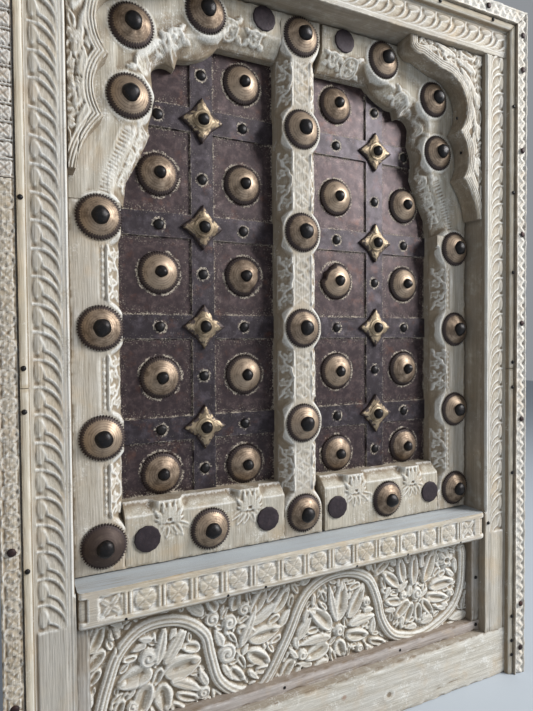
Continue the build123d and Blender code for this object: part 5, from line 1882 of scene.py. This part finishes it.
def flat_heads(word):
    """The twelve-sided flat heads of a leaf, with a soft edge."""
    name, node = f"{word}_flat_heads", f"{word}_flat_nails"
    radius, height = size_of(node)
    bm = bmesh.new()
    bmesh.ops.create_cone(bm, cap_ends=True, segments=12, radius1=radius, radius2=radius, depth=height)
    bmesh.ops.rotate(bm, verts=bm.verts, cent=(0, 0, 0), matrix=Euler((math.radians(90), 0, 0)).to_matrix())
    bmesh.ops.translate(bm, verts=bm.verts, vec=(0, -height / 2, 0))
    front_level = -height * 0.9
    front = [edge for edge in bm.edges if all(vert.co.y < front_level for vert in edge.verts)]
    bmesh.ops.bevel(bm, geom=front, affect="EDGES", offset=1.2, segments=3, profile=0.5, material=-1)
    in_front = [face for face in bm.faces if face.calc_center_median().y < front_level]
    cap = max(in_front, key=lambda face: face.calc_area())
    bmesh.ops.inset_region(bm, faces=[cap], thickness=radius * 0.3)
    bmesh.ops.subdivide_edges(bm, edges=list(cap.edges), cuts=1)
    form = mesh_from(bm, name + "_form")
    base = points_of(form)
    placed = []
    for x, z, level in centres_of(node):
        placed.append(turned_at_random(base) + np.array([x, level, z]))
    finish_piece(copies(name, form, placed, {}), f"{word}_leaf", [node], flat_iron)


for word in ("left", "right"):
    flat_heads(word)
tell("with metal")

# %% [markdown]
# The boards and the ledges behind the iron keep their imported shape. They are plain sawn wood, so
# they only get a material, in the direction of their grain.

# %% Boards behind the iron
for word in ("left", "right"):
    for part, material in (("pivot_board", board_wood), ("inner_board", board_wood), ("ledges", ledge_wood)):
        node = frame["nodes"][f"{word}_{part}"]
        paint(node, material)

# %% [markdown]
# ## Floor, light and camera
# The floor is pale and plain. The light comes softly from the right, from the front and from above,
# as it does on the real object, and the sky round it is a plain pale grey. The camera stands close
# at the left, which gives the strong perspective of the photograph.

# %% Floor
bm = bmesh.new()
bmesh.ops.create_grid(bm, x_segments=1, y_segments=1, size=6)
floor_mesh = mesh_from(bm, "floor")
floor = new_object("floor", floor_mesh)
floor.location.z = cad_low.z - 0.0005
floor_paint = bpy.data.materials.new("pale floor")
floor_paint.use_nodes = True
sockets = floor_paint.node_tree.nodes["Principled BSDF"].inputs
sockets["Base Color"].default_value = rgb(176, 184, 192)
sockets["Roughness"].default_value = 0.7
paint(floor, floor_paint)
floor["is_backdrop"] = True

# %% Light
world = bpy.data.worlds.new("room")
bpy.context.scene.world = world
world.use_nodes = True
background = world.node_tree.nodes["Background"]
background.inputs["Color"].default_value = rgb(214, 218, 224)
background.inputs["Strength"].default_value = 0.42


def soft_lamp(name, place, target, size, power):
    """A large square lamp that looks at a point."""
    lamp = bpy.data.lights.new(name, "AREA")
    lamp.shape = "SQUARE"
    lamp.size = size
    lamp.energy = power
    holder = new_object(name, lamp)
    holder.location = place
    holder.rotation_euler = (Vector(target) - Vector(place)).to_track_quat("-Z", "Y").to_euler()


middle = (0, 0, (cad_low.z + cad_high.z) / 2)
soft_lamp("window light", (2.0, -1.5, 1.8), middle, 1.1, 114)
soft_lamp("fill light", (-1.4, -2.4, 1.2), middle, 2.0, 6)

# %% Camera
EYE = Vector((-0.3857, -0.6841, 0.5597))
YAW = 25.97
PITCH = 1.52
ROLL = 0.45
LENS = 27.34
yaw_c, yaw_s = aim(YAW)
pitch_c, pitch_s = aim(PITCH)
forward = Vector((yaw_s * pitch_c, yaw_c * pitch_c, -pitch_s))
camera_data = bpy.data.cameras.new("camera")
camera_data.lens = LENS
camera_data.sensor_width = 36
camera_data.clip_start = 0.02
camera = new_object("camera", camera_data)
camera.location = EYE
turn = forward.to_track_quat("-Z", "Y").to_matrix().to_4x4()
camera.rotation_euler = (turn @ Euler((0, 0, math.radians(-ROLL))).to_matrix().to_4x4()).to_euler()
bpy.context.scene.camera = camera
bpy.context.scene.view_settings.view_transform = "Standard"

# %% Find the bounds and count the triangles
low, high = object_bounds()
largest = max(triangle_counts, key=triangle_counts.get)
tell("in all")
print("largest", largest, triangle_counts[largest])
